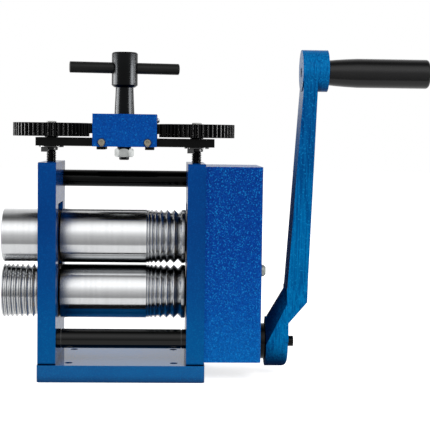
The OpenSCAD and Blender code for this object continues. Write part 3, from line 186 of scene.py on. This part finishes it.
class Mat:
    """A principled material and short ways to add nodes to it."""

    def __init__(self, name, **values):
        self.m = bpy.data.materials.new(name)
        self.m.use_nodes = True
        self.t = self.m.node_tree
        self.b = self.t.nodes["Principled BSDF"]
        for key, value in values.items():
            self.set(key.replace("_", " "), value)
        self.at = self.node("ShaderNodeTexCoord").outputs["Object"]

    def set(self, key, value):
        self.b.inputs[key].default_value = value

    def out(self, key, value):
        self.t.links.new(value, self.b.inputs[key])

    def node(self, kind, operation=None, **values):
        return add_node(self.t, kind, operation, **values)

    def stretch(self, *scale):
        return self.node("ShaderNodeMapping", Vector=self.at, Scale=scale).outputs[0]

    def height(self):
        return self.node("ShaderNodeSeparateXYZ", Vector=self.at).outputs["Z"]

    def tones(self, pairs):
        """A colour by height, from pairs of height in metres and colour; on the paints the change with height
        is painted light.
        """
        z0, z1 = pairs[0][0], pairs[-1][0]
        share = self.range(self.height(), z0, z1, 0, 1)
        return self.ramp(share, *[((z - z0) / (z1 - z0), color) for z, color in pairs])

    def noise(self, scale, detail, rough=0.5, vector=None):
        place = vector or self.at
        n = self.node("ShaderNodeTexNoise", Scale=scale, Detail=detail, Roughness=rough, Vector=place)
        return n.outputs["Fac"]

    def wander(self, scale, detail, low, high):
        """Noise that runs from low to high."""
        return self.range(self.noise(scale, detail), NOISE_LOW, NOISE_HIGH, low, high)

    def ramp(self, fac, *stops):
        return fill_ramp(self.node("ShaderNodeValToRGB", Fac=fac), stops)

    def range(self, fac, a, b, c, d):
        """Maps a to c and b to d, and holds those two beyond."""
        n = self.node("ShaderNodeMapRange", Value=fac, From_Min=a, From_Max=b, To_Min=c, To_Max=d)
        return n.outputs[0]

    def mix(self, fac, a, b, mode="MIX"):
        return mix_colors(self.t, fac, a, b, mode)

    def times(self, tone, factor):
        return self.mix(1.0, tone, factor, "MULTIPLY")

    def shade(self, tone, shade_reach, dark, closed, open_):
        """Tone with painted shade, darkened towards narrow places where shade falls; the reach is how far in
        metres a near face counts.
        """
        near = self.node("ShaderNodeAmbientOcclusion", Distance=shade_reach)
        near.samples = 8
        light = self.range(near.outputs["AO"], closed, open_, 0, 1)
        return self.mix(light, self.times(tone, dark), tone)

    def bump(self, height, strength, distance, normal=None):
        n = self.node("ShaderNodeBump", Height=height, Strength=strength, Distance=distance)
        if normal:
            self.t.links.new(normal, n.inputs["Normal"])
        return n.outputs[0]


# Kinds of material
def satin_paint(name, tones, level=0.05, rough=0.2, shade_reach=0.002):
    """Smooth powder paint; tones are pairs of height in metres and colour, their change with height painted
    light, and narrow places get painted shade.
    """
    m = Mat(name, Roughness=rough, IOR=PAINT_IOR, Specular_IOR_Level=level)
    tone = m.tones(tones)
    cloud = m.wander(24, 3, 0, 1)
    tone = m.mix(cloud, m.times(tone, (0.88, 0.91, 0.94)), m.times(tone, (1.1, 1.08, 1.05)))
    speck = m.ramp(m.noise(1500, 2), (0.5, 0.0), (0.72, 1.0))
    tone = m.mix(speck, m.times(tone, (0.9, 0.9, 0.93)), m.times(tone, (1.5, 1.3, 1.16)))
    # painted shade: darker in joints, holes and creases
    m.out("Base Color", m.shade(tone, shade_reach, (0.1, 0.12, 0.2), 0.35, 0.85))
    m.out("Roughness", m.wander(160, 4, rough * 0.85, rough * 1.2))
    m.out("Normal", m.bump(m.noise(900, 3), 0.05, 0.0002))
    return m.m


def hammer_paint(name, tones, glint, mottle, fleck_size, fleck_from=0.59, streak=0.0, level=0.06, shade_reach=0.0):
    """Mottled hammer paint with flecks of the colour glint; tones are pairs of height in metres and colour,
    their change with height painted light.

    Streak is how strong upright streaks are. With a reach it gets painted shade in narrow places, and it is
    duller at its foot.
    """
    m = Mat(name, Roughness=0.26, IOR=PAINT_IOR, Specular_IOR_Level=level)
    tone = m.tones(tones)
    blot = m.range(m.noise(900, 3, 0.7), 0.38, 0.6, 1 - mottle, 1)
    ground = m.mix(blot, m.times(tone, (0.3, 0.42, 0.6)), m.times(tone, (1.1, 1.1, 1.06)))
    if streak:
        lines = m.noise(1.0, 3, 0.65, m.stretch(1300, 1300, 45))
        ground = m.mix(m.range(lines, 0.42, 0.62, 0, streak), ground, m.times(tone, (0.3, 0.4, 0.55)))
    warp = m.node("ShaderNodeTexNoise", Scale=300, Detail=2, Vector=m.at).outputs["Color"]
    spots = m.noise(fleck_size, 1, 0.4, m.mix(0.0025, m.at, warp, "ADD"))
    tone = m.mix(m.range(spots, fleck_from, fleck_from + 0.12, 0, 0.75), ground, glint)
    # painted shade in narrow places, and a roughness by height
    if shade_reach:
        tone = m.shade(tone, shade_reach, (0.1, 0.1, 0.16), 0.25, 0.8)
        rough = m.range(m.height(), 0.11, 0.17, 0.8, 0.18)
    else:
        rough = m.wander(300, 2, 0.2, 0.32)
    m.out("Base Color", tone)
    m.out("Roughness", rough)
    m.out("Normal", m.bump(spots, 0.3, 0.0004, m.bump(m.noise(480, 3, 0.6), 0.15, 0.0003)))
    return m.m


def turned_steel(name, color, rough, rings=0.25, axis="x", metallic=1.0, level=0.5, spread=0.0, shade_reach=0.0,
                 marks=0.0):
    """Steel with turning marks round an axis; rings is how deep they look.

    Spread widens reflections along the axis, marks is how far from the middle two dark rings lie, and a reach
    paints shade into narrow places.
    """
    m = Mat(name, Metallic=metallic, Roughness=rough, Specular_IOR_Level=level)
    fine, coarse = (m.stretch(*((s, 30, 30) if axis == "x" else (30, 30, s))) for s in (5200, 5200 / 12))
    lines = m.noise(1.0, 3, 0.6, fine)
    bands = m.noise(1.0, 2, 0.5, coarse)
    tone = m.mix(m.range(bands, NOISE_LOW, NOISE_HIGH, 0, 1), tuple(0.94 * c for c in color), color)
    if marks:
        far = m.node("ShaderNodeSeparateXYZ", Vector=m.at).outputs["X"]
        for operation, value in (("ABSOLUTE", 0.0), ("SUBTRACT", marks), ("ABSOLUTE", 0.0)):
            far = m.node("ShaderNodeMath", operation, i0=far, i1=value).outputs[0]
        tone = m.mix(m.range(far, 0.0001, 0.0004, 1, 0), tone, (0.05, 0.05, 0.05))
    # painted shade where faces come near, as at the nip between the rolls and in their grooves
    if shade_reach:
        tone = m.shade(tone, shade_reach, (0.12, 0.13, 0.14), 0.35, 0.9)
    m.out("Base Color", tone)
    m.out("Roughness", m.range(lines, 0.25, 0.75, rough * 0.8, rough * 1.25))
    m.out("Normal", m.bump(lines, rings, 0.00002))
    if spread:
        m.set("Anisotropic", spread)
        m.set("Anisotropic Rotation", 0.25)
        around = m.node("ShaderNodeTangent")
        around.direction_type, around.axis = "RADIAL", axis.upper()
        m.out("Tangent", around.outputs[0])
    return m.m


def black_oxide(name, color, rough, metallic=0.0, level=0.12, bare=0.0):
    """Blackened or dull steel; above the height bare it is worn to the metal."""
    m = Mat(name, Metallic=metallic, Roughness=rough, Specular_IOR_Level=level)
    darker, lighter = (tuple(share * c for c in color) for share in (0.75, 1.25))
    tone = m.ramp(m.noise(90, 4), (0.3, darker), (0.7, lighter))
    if bare:
        worn = m.range(m.height(), bare - 0.0001, bare + 0.0001, 0, 1)
        tone = m.mix(worn, tone, (0.5, 0.5, 0.48))
    m.out("Base Color", tone)
    m.out("Roughness", m.wander(700, 3, rough * 0.8, rough * 1.25))
    m.out("Normal", m.bump(m.noise(1600, 2), 0.08, 0.0001))
    return m.m


def bright_metal(name, color, tint, rough):
    """Bright metal with patches from color to tint."""
    m = Mat(name, Metallic=1.0, Roughness=rough)
    m.out("Base Color", m.ramp(m.noise(350, 3), (0.35, color), (0.75, tint)))
    m.out("Roughness", m.wander(1200, 3, rough * 0.7, rough * 1.4))
    m.out("Normal", m.bump(m.noise(2500, 2), 0.1, 0.00006))
    return m.m


def grip_plastic():
    m = Mat("grip_black_plastic", Roughness=0.16, IOR=1.49, Specular_IOR_Level=0.38)
    darker, lighter = (0.003, 0.003, 0.0033), (0.0045, 0.0045, 0.0048)
    m.out("Base Color", m.ramp(m.noise(60, 3), (0.3, darker), (0.7, lighter)))
    m.out("Roughness", m.wander(240, 4, 0.13, 0.2))
    m.out("Normal", m.bump(m.noise(500, 2), 0.02, 0.0002))
    return m.m


# Materials
GROUND_STEEL = (0.73, 0.74, 0.75)
ROD_BLACK = (0.0008, 0.001, 0.001)
GEAR_BLACK = (0.002, 0.002, 0.0022)

# The plates' tones are painted light, lighter towards their foot and a little lighter again at the top edge,
# and narrow places get painted shade
satin = satin_paint("satin_blue_paint", (
    (0.0, (0.0006, 0.105, 0.32)), (0.03, (0.0006, 0.09, 0.3)), (0.06, (0.0006, 0.066, 0.262)),
    (0.09, (0.0006, 0.048, 0.22)), (0.128, (0.0006, 0.05, 0.235))))
# The base has one tone, with painted shade reaching further into its holes and the joints with the plates
satin_base = satin_paint("satin_blue_base", (
    (0.0, (0.0006, 0.108, 0.325)), (0.01, (0.0006, 0.108, 0.325))), level=0.12, rough=0.08, shade_reach=0.007)
# The cover's tones are painted light, lighter towards its foot and darker at its top
hammer_box = hammer_paint("hammer_blue_cover", (
    (0.012, (0.0006, 0.13, 0.46)), (0.045, (0.0006, 0.075, 0.37)), (0.08, (0.0006, 0.048, 0.3)),
    (0.127, (0.0006, 0.042, 0.26))), (0.007, 0.22, 0.6), mottle=0.62, fleck_size=1200, fleck_from=0.565)
# The housing's tones are painted light, a little darker at its top
hammer_house = hammer_paint("hammer_blue_housing", (
    (0.13, (0.0006, 0.07, 0.34)), (0.157, (0.0006, 0.06, 0.31))), (0.004, 0.14, 0.46),
    mottle=0.6, fleck_size=900)
# The crank's tones are painted light, lightest at its foot, darkest near 0.155 m and lighter at its upper end;
# its reach paints shade where other parts, such as the cover, come near
hammer_arm = hammer_paint("hammer_blue_crank", (
    (0.0, (0.0006, 0.17, 0.44)), (0.05, (0.0006, 0.17, 0.44)), (0.1, (0.0006, 0.145, 0.4)),
    (0.155, (0.0008, 0.083, 0.28)), (0.172, (0.0008, 0.1, 0.3)), (0.185, (0.002, 0.15, 0.41)),
    (0.2, (0.002, 0.15, 0.41))), (0.006, 0.22, 0.52), mottle=0.3, fleck_size=1000, fleck_from=0.6,
    streak=0.85, level=0.02, shade_reach=0.032)
# The rolls' reach paints shade at the nip between them, in their grooves and near the plates
roll_steel = turned_steel("ground_roll_steel", GROUND_STEEL, 0.2, 0.08, spread=0.92, shade_reach=0.011)
ext_steel = turned_steel("turned_extension_steel", GROUND_STEEL, 0.2, 0.08, spread=0.92, shade_reach=0.004)
black_rod = turned_steel("black_turned_steel", ROD_BLACK, 0.12, 0.2, metallic=0.0, level=0.14)
black_rod_low = turned_steel("black_rod_with_rings", ROD_BLACK, 0.1, 0.2, metallic=0.0, level=0.28,
                             marks=ROD_RING * MM)
black_bar = turned_steel("black_cross_bar", (0.012, 0.0125, 0.012), 0.3, 0.2, metallic=0.0, level=0.12)
gun_metal = turned_steel("gun_metal_turned", (0.011, 0.0115, 0.012), 0.24, 0.3, "z")
shaft_steel = turned_steel("shaft_steel", (0.12, 0.12, 0.125), 0.3)
black_part = black_oxide("black_oxide_steel", (0.0015, 0.0016, 0.0015), 0.3)
gear_black = black_oxide("black_gear_steel", GEAR_BLACK, 0.28, level=0.16)
screw_black = black_oxide("black_screw_steel", GEAR_BLACK, 0.25, level=0.2, bare=0.1514)
washer_grey = black_oxide("worn_washer_steel", (0.09, 0.09, 0.09), 0.3, metallic=1.0)
gear_grey = black_oxide("gear_steel", (0.3, 0.3, 0.31), 0.3, metallic=1.0)
dull_zinc = black_oxide("dull_zinc_screw", (0.3, 0.32, 0.29), 0.25, metallic=0.5, level=0.3)
zinc = bright_metal("zinc_plated", (0.6, 0.61, 0.62), (0.74, 0.74, 0.74), 0.16)
nut_zinc = bright_metal("zinc_nut", (0.5, 0.52, 0.51), (0.78, 0.8, 0.79), 0.16)
brassy_zinc = bright_metal("yellow_zinc", (0.3, 0.28, 0.22), (0.42, 0.39, 0.31), 0.3)
spring_wire = bright_metal("spring_wire", (0.4, 0.4, 0.42), (0.5, 0.5, 0.52), 0.3)
bronze = bright_metal("bearing_bronze", (0.16, 0.11, 0.06), (0.24, 0.17, 0.1), 0.4)
plastic = grip_plastic()

look = {
    "plate_paint": satin, "hammer_paint": hammer_box, "roll_steel": roll_steel, "black_steel": black_part,
    "gear_steel": gear_grey, "gun_metal": gun_metal, "spring_steel": spring_wire, "bronze": bronze,
    "zinc_steel": zinc, "grip_plastic": plastic,
}
# Nodes that look unlike the rest of their slot
node_look = {
    "base_plate": satin_base, "adjuster_housing": hammer_house, "crank_arm": hammer_arm,
    "upper_extension_roll": ext_steel, "lower_extension_roll": ext_steel,
    "upper_tie_rod": black_rod, "lower_tie_rod": black_rod_low, "cover_flange_bush": black_rod,
    "crank_screw": black_rod, "t_bar": black_bar, "crank_shaft": shaft_steel, "grip_spindle": shaft_steel,
    "central_gear": gear_black, "left_screw_gear": gear_black, "right_screw_gear": gear_black,
    "left_adjusting_screw": screw_black, "right_adjusting_screw": screw_black,
    "left_tab_washer": washer_grey, "right_tab_washer": washer_grey, "thrust_block": gear_grey,
    "spindle_nut": nut_zinc, "cover_screws": dull_zinc, "housing_screws": brassy_zinc,
}


def dress(mesh, node):
    """Gives a mesh the material of a CAD node."""
    mesh.materials.clear()
    mesh.materials.append(node_look.get(node) or look[slots[node]])


for name, obj in nodes.items():
    dress(obj.data, name)


# Pieces
def add_piece(name, mesh, node):
    """An object with a mesh that stands for a CAD node, on the node's body and in its slot."""
    obj = link(bpy.data.objects.new(name, mesh))
    dress(mesh, node)
    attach(obj, body_of[node])
    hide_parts(node)
    return obj


def smooth(mesh, angle=SMOOTH_ANGLE):
    """Even shading where faces meet at less than an angle in degrees."""
    for p in mesh.polygons:
        p.use_smooth = True
    mesh.set_sharp_from_angle(angle=math.radians(angle))


def skin(node, width, segments):
    """A copy of a CAD node with broken edges of a width in millimetres and even shading."""
    mesh = nodes[node].data.copy()
    mesh.name = node + "_skin"
    bm = bmesh.new()
    bm.from_mesh(mesh)
    bmesh.ops.remove_doubles(bm, verts=bm.verts, dist=SAME_PLACE)
    flat = math.radians(FLAT_ANGLE)
    bmesh.ops.dissolve_limit(bm, angle_limit=flat, verts=bm.verts, edges=bm.edges, delimit=set())
    bm.to_mesh(mesh)
    bm.free()
    custom = mesh.attributes.get("custom_normal")
    if custom is not None:
        mesh.attributes.remove(custom)
    smooth(mesh)
    obj = add_piece(node + "_skin", mesh, node)
    edges = obj.modifiers.new("edges", "BEVEL")
    edges.width, edges.segments, edges.miter_outer = width * MM, segments, "MITER_ARC"
    edges.limit_method, edges.angle_limit = "ANGLE", math.radians(EDGE_ANGLE)
    obj.modifiers.new("shade", "WEIGHTED_NORMAL").weight = 60


def rounded(points, r, steps=3):
    """The outline with an arc of radius r at each corner, less where the sides are short."""
    out = [points[0]]
    for a, b, c in zip(points, points[1:], points[2:]):
        a, b, c = Vector(a), Vector(b), Vector(c)
        u, v = a - b, c - b
        turn = math.pi - u.angle(v) if u.length and v.length else 0
        if turn < math.radians(12):
            out.append(tuple(b))
            continue
        cut = min(r * math.tan(turn / 2), 0.45 * u.length, 0.45 * v.length)
        p, q = b + u.normalized() * cut, b + v.normalized() * cut
        for i in range(steps + 1):
            t = i / steps
            out.append(tuple(p * (1 - t) ** 2 + b * 2 * t * (1 - t) + q * t ** 2))
    out.append(points[-1])
    return out


def ring(radii, place, axis):
    """Points at a place along an axis, one for each radius, evenly round it."""
    points = []
    for k, r in enumerate(radii):
        a = 2 * math.pi * k / len(radii)
        c, s = r * math.cos(a), r * math.sin(a)
        points.append((place, c, s) if axis == "x" else (c, s, place))
    return points


def loft(name, rings, centre, soft, capped=False):
    """A mesh through rings of points in millimetres; a ring of one point is a tip."""
    bm = bmesh.new()
    rings = [[bm.verts.new([(v + c) * MM for v, c in zip(point, centre)]) for point in points]
             for points in rings]
    for a, b in zip(rings, rings[1:]):
        count = max(len(a), len(b))
        if count == 1:
            continue
        for k in range(count):
            n = (k + 1) % count
            if len(a) == 1:
                bm.faces.new((a[0], b[n], b[k]))
            elif len(b) == 1:
                bm.faces.new((a[k], a[n], b[0]))
            else:
                bm.faces.new((a[k], a[n], b[n], b[k]))
    if capped:
        bm.faces.new(rings[0])
        bm.faces.new(rings[-1])
    bmesh.ops.recalc_face_normals(bm, faces=bm.faces)
    mesh = bpy.data.meshes.new(name)
    bm.to_mesh(mesh)
    bm.free()
    smooth(mesh, soft)
    return mesh


def lathe(name, node, outline, centre, axis="x", segments=128, soft=SMOOTH_ANGLE, turn=None):
    """Turns an outline of (radius, place) in millimetres about an axis through centre."""
    rings = [ring([r] * (segments if r > 1e-6 else 1), place, axis) for r, place in outline]
    mesh = loft(name, rings, centre, soft)
    if turn:
        mesh.transform(turn)
    add_piece(name, mesh, node)


def edges_of(node):
    """Lowest and highest corner of a CAD node in millimetres."""
    lo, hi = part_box(node)
    return lo / MM, hi / MM


# Rolls
def grooves(sizes, end):
    """Right edge and width of each groove before a roll's end, from the narrowest to the widest."""
    widest, step, margin = sizes
    out = []
    for i in range(GROOVES):
        back = i * (widest + GROOVE_LAND) - step * i * (i - 1) / 2
        out.append((end - margin - back, widest - i * step))
    return out[::-1]


def roll_end(end):
    """A roll's outline from its left end to where the flat part begins."""
    return [(0, end), (SHAFT_R - SHAFT_CHAMFER, end), (SHAFT_R, end + SHAFT_CHAMFER), (SHAFT_R, -JOURNAL_END),
            (JOURNAL_R, -JOURNAL_END), (JOURNAL_R, -ROLL_HALF), (ROLL_R - ROLL_CHAMFER, -ROLL_HALF),
            (ROLL_R, ROLL_CHAMFER - ROLL_HALF)]


def roll_outline(left, right):
    """A main roll's outline with its square wire grooves."""
    wire = []
    for x1, w in grooves(SQUARE_GROOVES, ROLL_HALF):
        wire += [(ROLL_R, x1 - w), (ROLL_R - w / 2, x1 - w / 2), (ROLL_R, x1)]
    return rounded(roll_end(left) + wire + [(r, -x) for r, x in reversed(roll_end(-right))], 0.12, 2)


def extension_outline(x0, x1, grooved):
    """An extension roll's outline, open round its bore; one of the two has half round grooves."""
    wire = []
    if grooved:
        for end, w in grooves(ROUND_GROOVES, x1):
            for k in range(13):
                a = math.pi * k / 12
                wire.append((EXTENSION_R - w / 2 * math.sin(a), end - w / 2 - w / 2 * math.cos(a)))
    side = EXTENSION_R - ROLL_CHAMFER
    near = [(EXTENSION_BORE, x0 + EXTENSION_BORE_DEPTH), (EXTENSION_BORE, x0), (side, x0),
            (EXTENSION_R, x0 + ROLL_CHAMFER)]
    far = [(EXTENSION_R, x1 - ROLL_CHAMFER), (side, x1), (EXTENSION_SEAT, x1)]
    return rounded(near, 0.3) + wire + rounded(far, 0.3)


AXES = (("upper", UPPER_AXIS), ("lower", LOWER_AXIS))
for level, z in AXES:
    node = level + "_roll"
    lo, hi = edges_of(node)
    lathe(node + "_turned", node, roll_outline(lo.x, hi.x), (0, 0, z), segments=160, soft=25)
for level, z in AXES:
    node = level + "_extension_roll"
    lo, hi = edges_of(node)
    outline = extension_outline(lo.x, hi.x, level == "lower")
    lathe(node + "_turned", node, outline, (0, 0, z), segments=144, soft=40)


# Rods, handle and grip
def rod_outline(node, r, rings=()):
    """A rod's outline with narrow turned rings."""
    lo, hi = edges_of(node)
    points = [(0, lo.x), (r, lo.x)]
    for x in rings:
        points += [(r, x - 0.25), (r - ROD_RING_DEPTH, x - 0.2), (r - ROD_RING_DEPTH, x + 0.2), (r, x + 0.25)]
    return points + [(r, hi.x), (0, hi.x)]


def handle_outline():
    """The T handle's spindle from its lower end to its hub's top."""
    lo, hi = edges_of("t_handle_spindle")
    house = edges_of("adjuster_housing")[1].z
    top, hub = hi.z, house + HUB_FOOT
    seat0, seat1 = 145.1, 151.1
    return rounded([
        (0, lo.z), (2.6, lo.z), (3, lo.z + 0.4), (3, seat0), (4, seat0), (4, seat1), (6, seat1),
        (6, house + 0.4), (STEM_R, hub - 0.6), (STEM_R, hub), (6.2, hub), (HUB_R, hub + 1.3),
        (HUB_R, top - 0.9), (HUB_R - 0.8, top - 0.1), (0, top),
    ], 0.5)


def grip_outline():
    """The grip, which widens from its inner end and has a round edge and a recess at its outer end."""
    lo, hi = edges_of("grip")
    x0, x1 = lo.x, hi.x
    edge = 2
    arc = [math.pi * k / 16 for k in range(1, 9)]
    round_edge = [(GRIP_R - edge * (1 - math.cos(a)), x1 - edge + edge * math.sin(a)) for a in arc]
    return rounded([
        (GRIP_BORE, x0 + 40), (GRIP_BORE, x0), (7.15, x0), (7.45, x0 + 0.3), (7.95, x0 + 5), (8.38, x0 + 11),
        (GRIP_R, x0 + 18), (GRIP_R, x1 - edge), *round_edge, (GRIP_RECESS, x1), (GRIP_RECESS, x1 - 4.5),
        (GRIP_BORE, x1 - 4.5), (GRIP_BORE, x0 + 40),
    ], 0.5)


lathe("upper_rod_turned", "upper_tie_rod", rod_outline("upper_tie_rod", UPPER_ROD_R), UPPER_ROD_PLACE)
lathe("lower_rod_turned", "lower_tie_rod", rod_outline("lower_tie_rod", LOWER_ROD_R, (-ROD_RING, ROD_RING)),
      LOWER_ROD_PLACE)
lathe("t_handle_turned", "t_handle_spindle", handle_outline(), (0, 0, 0), "z", 96)
half_bar = [(0, -BAR_HALF), (BAR_R - 0.4, -BAR_HALF), (BAR_R, 0.4 - BAR_HALF)]
bar_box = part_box("t_bar")
bar_place = Matrix.Translation((0, 0, (bar_box[0].z + bar_box[1].z) / 2))
bar_turn = Matrix.Rotation(math.radians(BAR_TURN), 4, "Z")
lathe("cross_bar_turned", "t_bar", rounded(half_bar + [(r, -x) for r, x in reversed(half_bar)], 0.3),
      (0, 0, 0), "x", 64, turn=bar_place @ bar_turn)
lathe("grip_turned", "grip", grip_outline(), (0, 0, GRIP_AXIS), "x", 96)


# Adjusting screws with their threads
def threaded(name, node, centre_x, z0, z1, rest, segments=40, parts=8):
    """A thread from z0 to z1, in as many parts a turn, and the plain outline above it, in millimetres."""
    count = int((z1 - z0) / THREAD_PITCH * parts)
    rings = []
    for i in range(count + 1):
        z = z0 + (z1 - z0) * i / count
        fade = min(1, i / parts, (count - i) / parts)
        radii = []
        for k in range(segments):
            phase = (z / THREAD_PITCH - k / segments) % 1.0
            cut = min(1, max(0, (abs(2 * phase - 1) - THREAD_CREST) / (1 - 2 * THREAD_CREST)))
            radii.append(SCREW_R - THREAD_DEPTH * (cut * fade + (1 - fade)))
        rings.append(ring(radii, z, "z"))
    rings += [ring([r] * segments, z, "z") for r, z in rest]
    add_piece(name, loft(name, rings, (centre_x, 0, 0), soft=28, capped=True), node)


for side, x in (("left", -SCREW_X), ("right", SCREW_X)):
    node = side + "_adjusting_screw"
    lo, hi = edges_of(node)
    above = [(3.6, COLLAR + 0.01), (3.9, COLLAR + 0.3), (3.9, COLLAR + 1.5), (3.6, COLLAR + 1.8),
             (SCREW_R, COLLAR + 1.81), (SCREW_R, hi.z - 0.3), (SCREW_R - 0.3, hi.z)]
    threaded(side + "_screw_threaded", node, x, lo.z, COLLAR, above)


# The return springs: a copy of their CAD coils with smooth shading, left where they stand
def add_springs():
    mesh = nodes["return_springs"].data.copy()
    mesh.name = "return_springs_coils"
    smooth(mesh, angle=70)
    obj = link(bpy.data.objects.new("return_springs_coils", mesh))
    dress(mesh, "return_springs")
    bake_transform(obj)
    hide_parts("return_springs")


add_springs()

# Everything else gets broken edges, with a width in millimetres and a number of segments
skins = {
    "base_plate": (0.7, 3), "left_side_plate": (0.5, 3), "right_side_plate": (0.5, 3), "gear_cover": (0.5, 3),
    "adjuster_housing": (0.4, 3), "bridge_plate": (0.4, 2), "crank_arm": (0.8, 3),
    "cover_flange_bush": (0.4, 2), "crank_screw": (0.35, 2), "spindle_nut": (0.12, 2),
    "housing_screws": (0.15, 2),
    "thrust_block_screws": (0.25, 2), "spindle_bearing_screws": (0.12, 2), "cover_screws": (0.2, 2),
    "tie_rod_screws": (0.2, 2), "left_tab_washer": (0.12, 2), "right_tab_washer": (0.12, 2),
    "left_screw_gear": (0.12, 1), "right_screw_gear": (0.12, 1), "central_gear": (0.12, 1),
    "spindle_bush": (0.15, 2), "left_upper_block": (0.3, 2), "right_upper_block": (0.3, 2),
    "left_lower_block": (0.3, 2), "right_lower_block": (0.3, 2), "upper_roll_gear": (0.15, 1),
    "lower_roll_gear": (0.15, 1), "drive_gear": (0.12, 1), "drive_pinion": (0.12, 1),
}
for node, (width, segments) in skins.items():
    skin(node, width, segments)


# Floor, background and light
def rays(t):
    """Two outputs: 1 for glossy rays, and 1 for rays from the camera or through glass."""
    path = add_node(t, "ShaderNodeLightPath").outputs
    seen = add_node(t, "ShaderNodeMath", "MAXIMUM", i0=path["Is Camera Ray"], i1=path["Is Transmission Ray"])
    return path["Is Glossy Ray"], seen.outputs[0]


def stage_material():
    """White for the camera; in reflections white near the mill and greyer further out."""
    m = bpy.data.materials.new("stage_white")
    m.use_nodes = True
    t = m.node_tree
    t.nodes.clear()
    glossy, seen = rays(t)
    power = add_node(t, "ShaderNodeMath", "MULTIPLY", i0=seen, i1=FLOOR_GLOW).outputs[0]
    diffuse = add_node(t, "ShaderNodeBsdfDiffuse", Color=(FLOOR_WHITE, FLOOR_WHITE, FLOOR_WHITE, 1))
    glow = add_node(t, "ShaderNodeEmission", Strength=power)
    plain = add_node(t, "ShaderNodeAddShader", i0=diffuse.outputs[0], i1=glow.outputs[0])
    place = add_node(t, "ShaderNodeTexCoord").outputs["Object"]
    y = add_node(t, "ShaderNodeSeparateXYZ", Vector=place).outputs["Y"]
    share = add_node(t, "ShaderNodeMapRange", Value=y, From_Min=0.0, From_Max=FLOOR_FRONT).outputs[0]
    tone = fill_ramp(add_node(t, "ShaderNodeValToRGB", Fac=share), FLOOR_TONES)
    mirror = add_node(t, "ShaderNodeEmission", Color=tone)
    both = add_node(t, "ShaderNodeMixShader", i0=glossy, i1=plain.outputs[0], i2=mirror.outputs[0])
    add_node(t, "ShaderNodeOutputMaterial", Surface=both.outputs[0])
    return m


def make_stage():
    bm = bmesh.new()
    bmesh.ops.create_grid(bm, x_segments=4, y_segments=4, size=FLOOR_HALF)
    mesh = bpy.data.meshes.new("floor")
    bm.to_mesh(mesh)
    bm.free()
    floor = link(bpy.data.objects.new("floor", mesh))
    mesh.materials.append(stage_material())


def make_world():
    """White for the camera, even for diffuse light, and in reflections dark overhead and bright in front."""
    world = bpy.data.worlds.new("studio")
    scene.world = world
    world.use_nodes = True
    t = world.node_tree
    t.nodes.clear()
    glossy, seen = rays(t)
    direction = add_node(t, "ShaderNodeTexCoord").outputs["Generated"]
    ray = add_node(t, "ShaderNodeSeparateXYZ", Vector=direction).outputs
    front = add_node(t, "ShaderNodeMath", "MULTIPLY", i0=ray["Y"], i1=-1.0).outputs[0]
    angle = add_node(t, "ShaderNodeMath", "ARCTAN2", i0=ray["Z"], i1=front).outputs[0]
    share = add_node(t, "ShaderNodeMapRange", Value=angle, From_Min=0.0, From_Max=math.pi).outputs[0]
    stops = [(degrees / 180, grey) for degrees, grey in REFLECTED]
    tone = fill_ramp(add_node(t, "ShaderNodeValToRGB", Fac=share), stops)
    side = add_node(t, "ShaderNodeMath", "ABSOLUTE", i0=ray["X"]).outputs[0]
    side = add_node(t, "ShaderNodeMapRange", Value=side, From_Min=SIDES_FROM, From_Max=SIDES_FULL).outputs[0]
    mirrored = mix_colors(t, side, tone, (SIDES, SIDES, SIDES))
    even = add_node(t, "ShaderNodeBackground", Color=(1, 1, 1, 1), Strength=ROOM)
    mirror = add_node(t, "ShaderNodeBackground", Color=mirrored, Strength=MIRROR)
    white = add_node(t, "ShaderNodeBackground", Color=(1, 1, 1, 1))
    unseen = add_node(t, "ShaderNodeMixShader", i0=glossy, i1=even.outputs[0], i2=mirror.outputs[0])
    both = add_node(t, "ShaderNodeMixShader", i0=seen, i1=unseen.outputs[0], i2=white.outputs[0])
    add_node(t, "ShaderNodeOutputWorld", Surface=both.outputs[0])


def area(name, place, target, size, power):
    data = bpy.data.lights.new(name, "AREA")
    data.shape = "RECTANGLE"
    data.size, data.size_y = size
    data.energy = power
    lamp = link(bpy.data.objects.new(name, data))
    lamp.location = place
    lamp.rotation_euler = (Vector(target) - Vector(place)).to_track_quat("-Z", "Y").to_euler()
    return lamp


make_stage()
make_world()
left, right, key, back = (area(*lamp) for lamp in LAMPS)
left.visible_diffuse = right.visible_diffuse = False
key.visible_glossy = back.visible_glossy = False
lit = bpy.data.collections.new("turned_upright")
for name in LIT_FROM_SIDES:
    lit.objects.link(bpy.data.objects[name])
left.light_linking.receiver_collection = right.light_linking.receiver_collection = lit
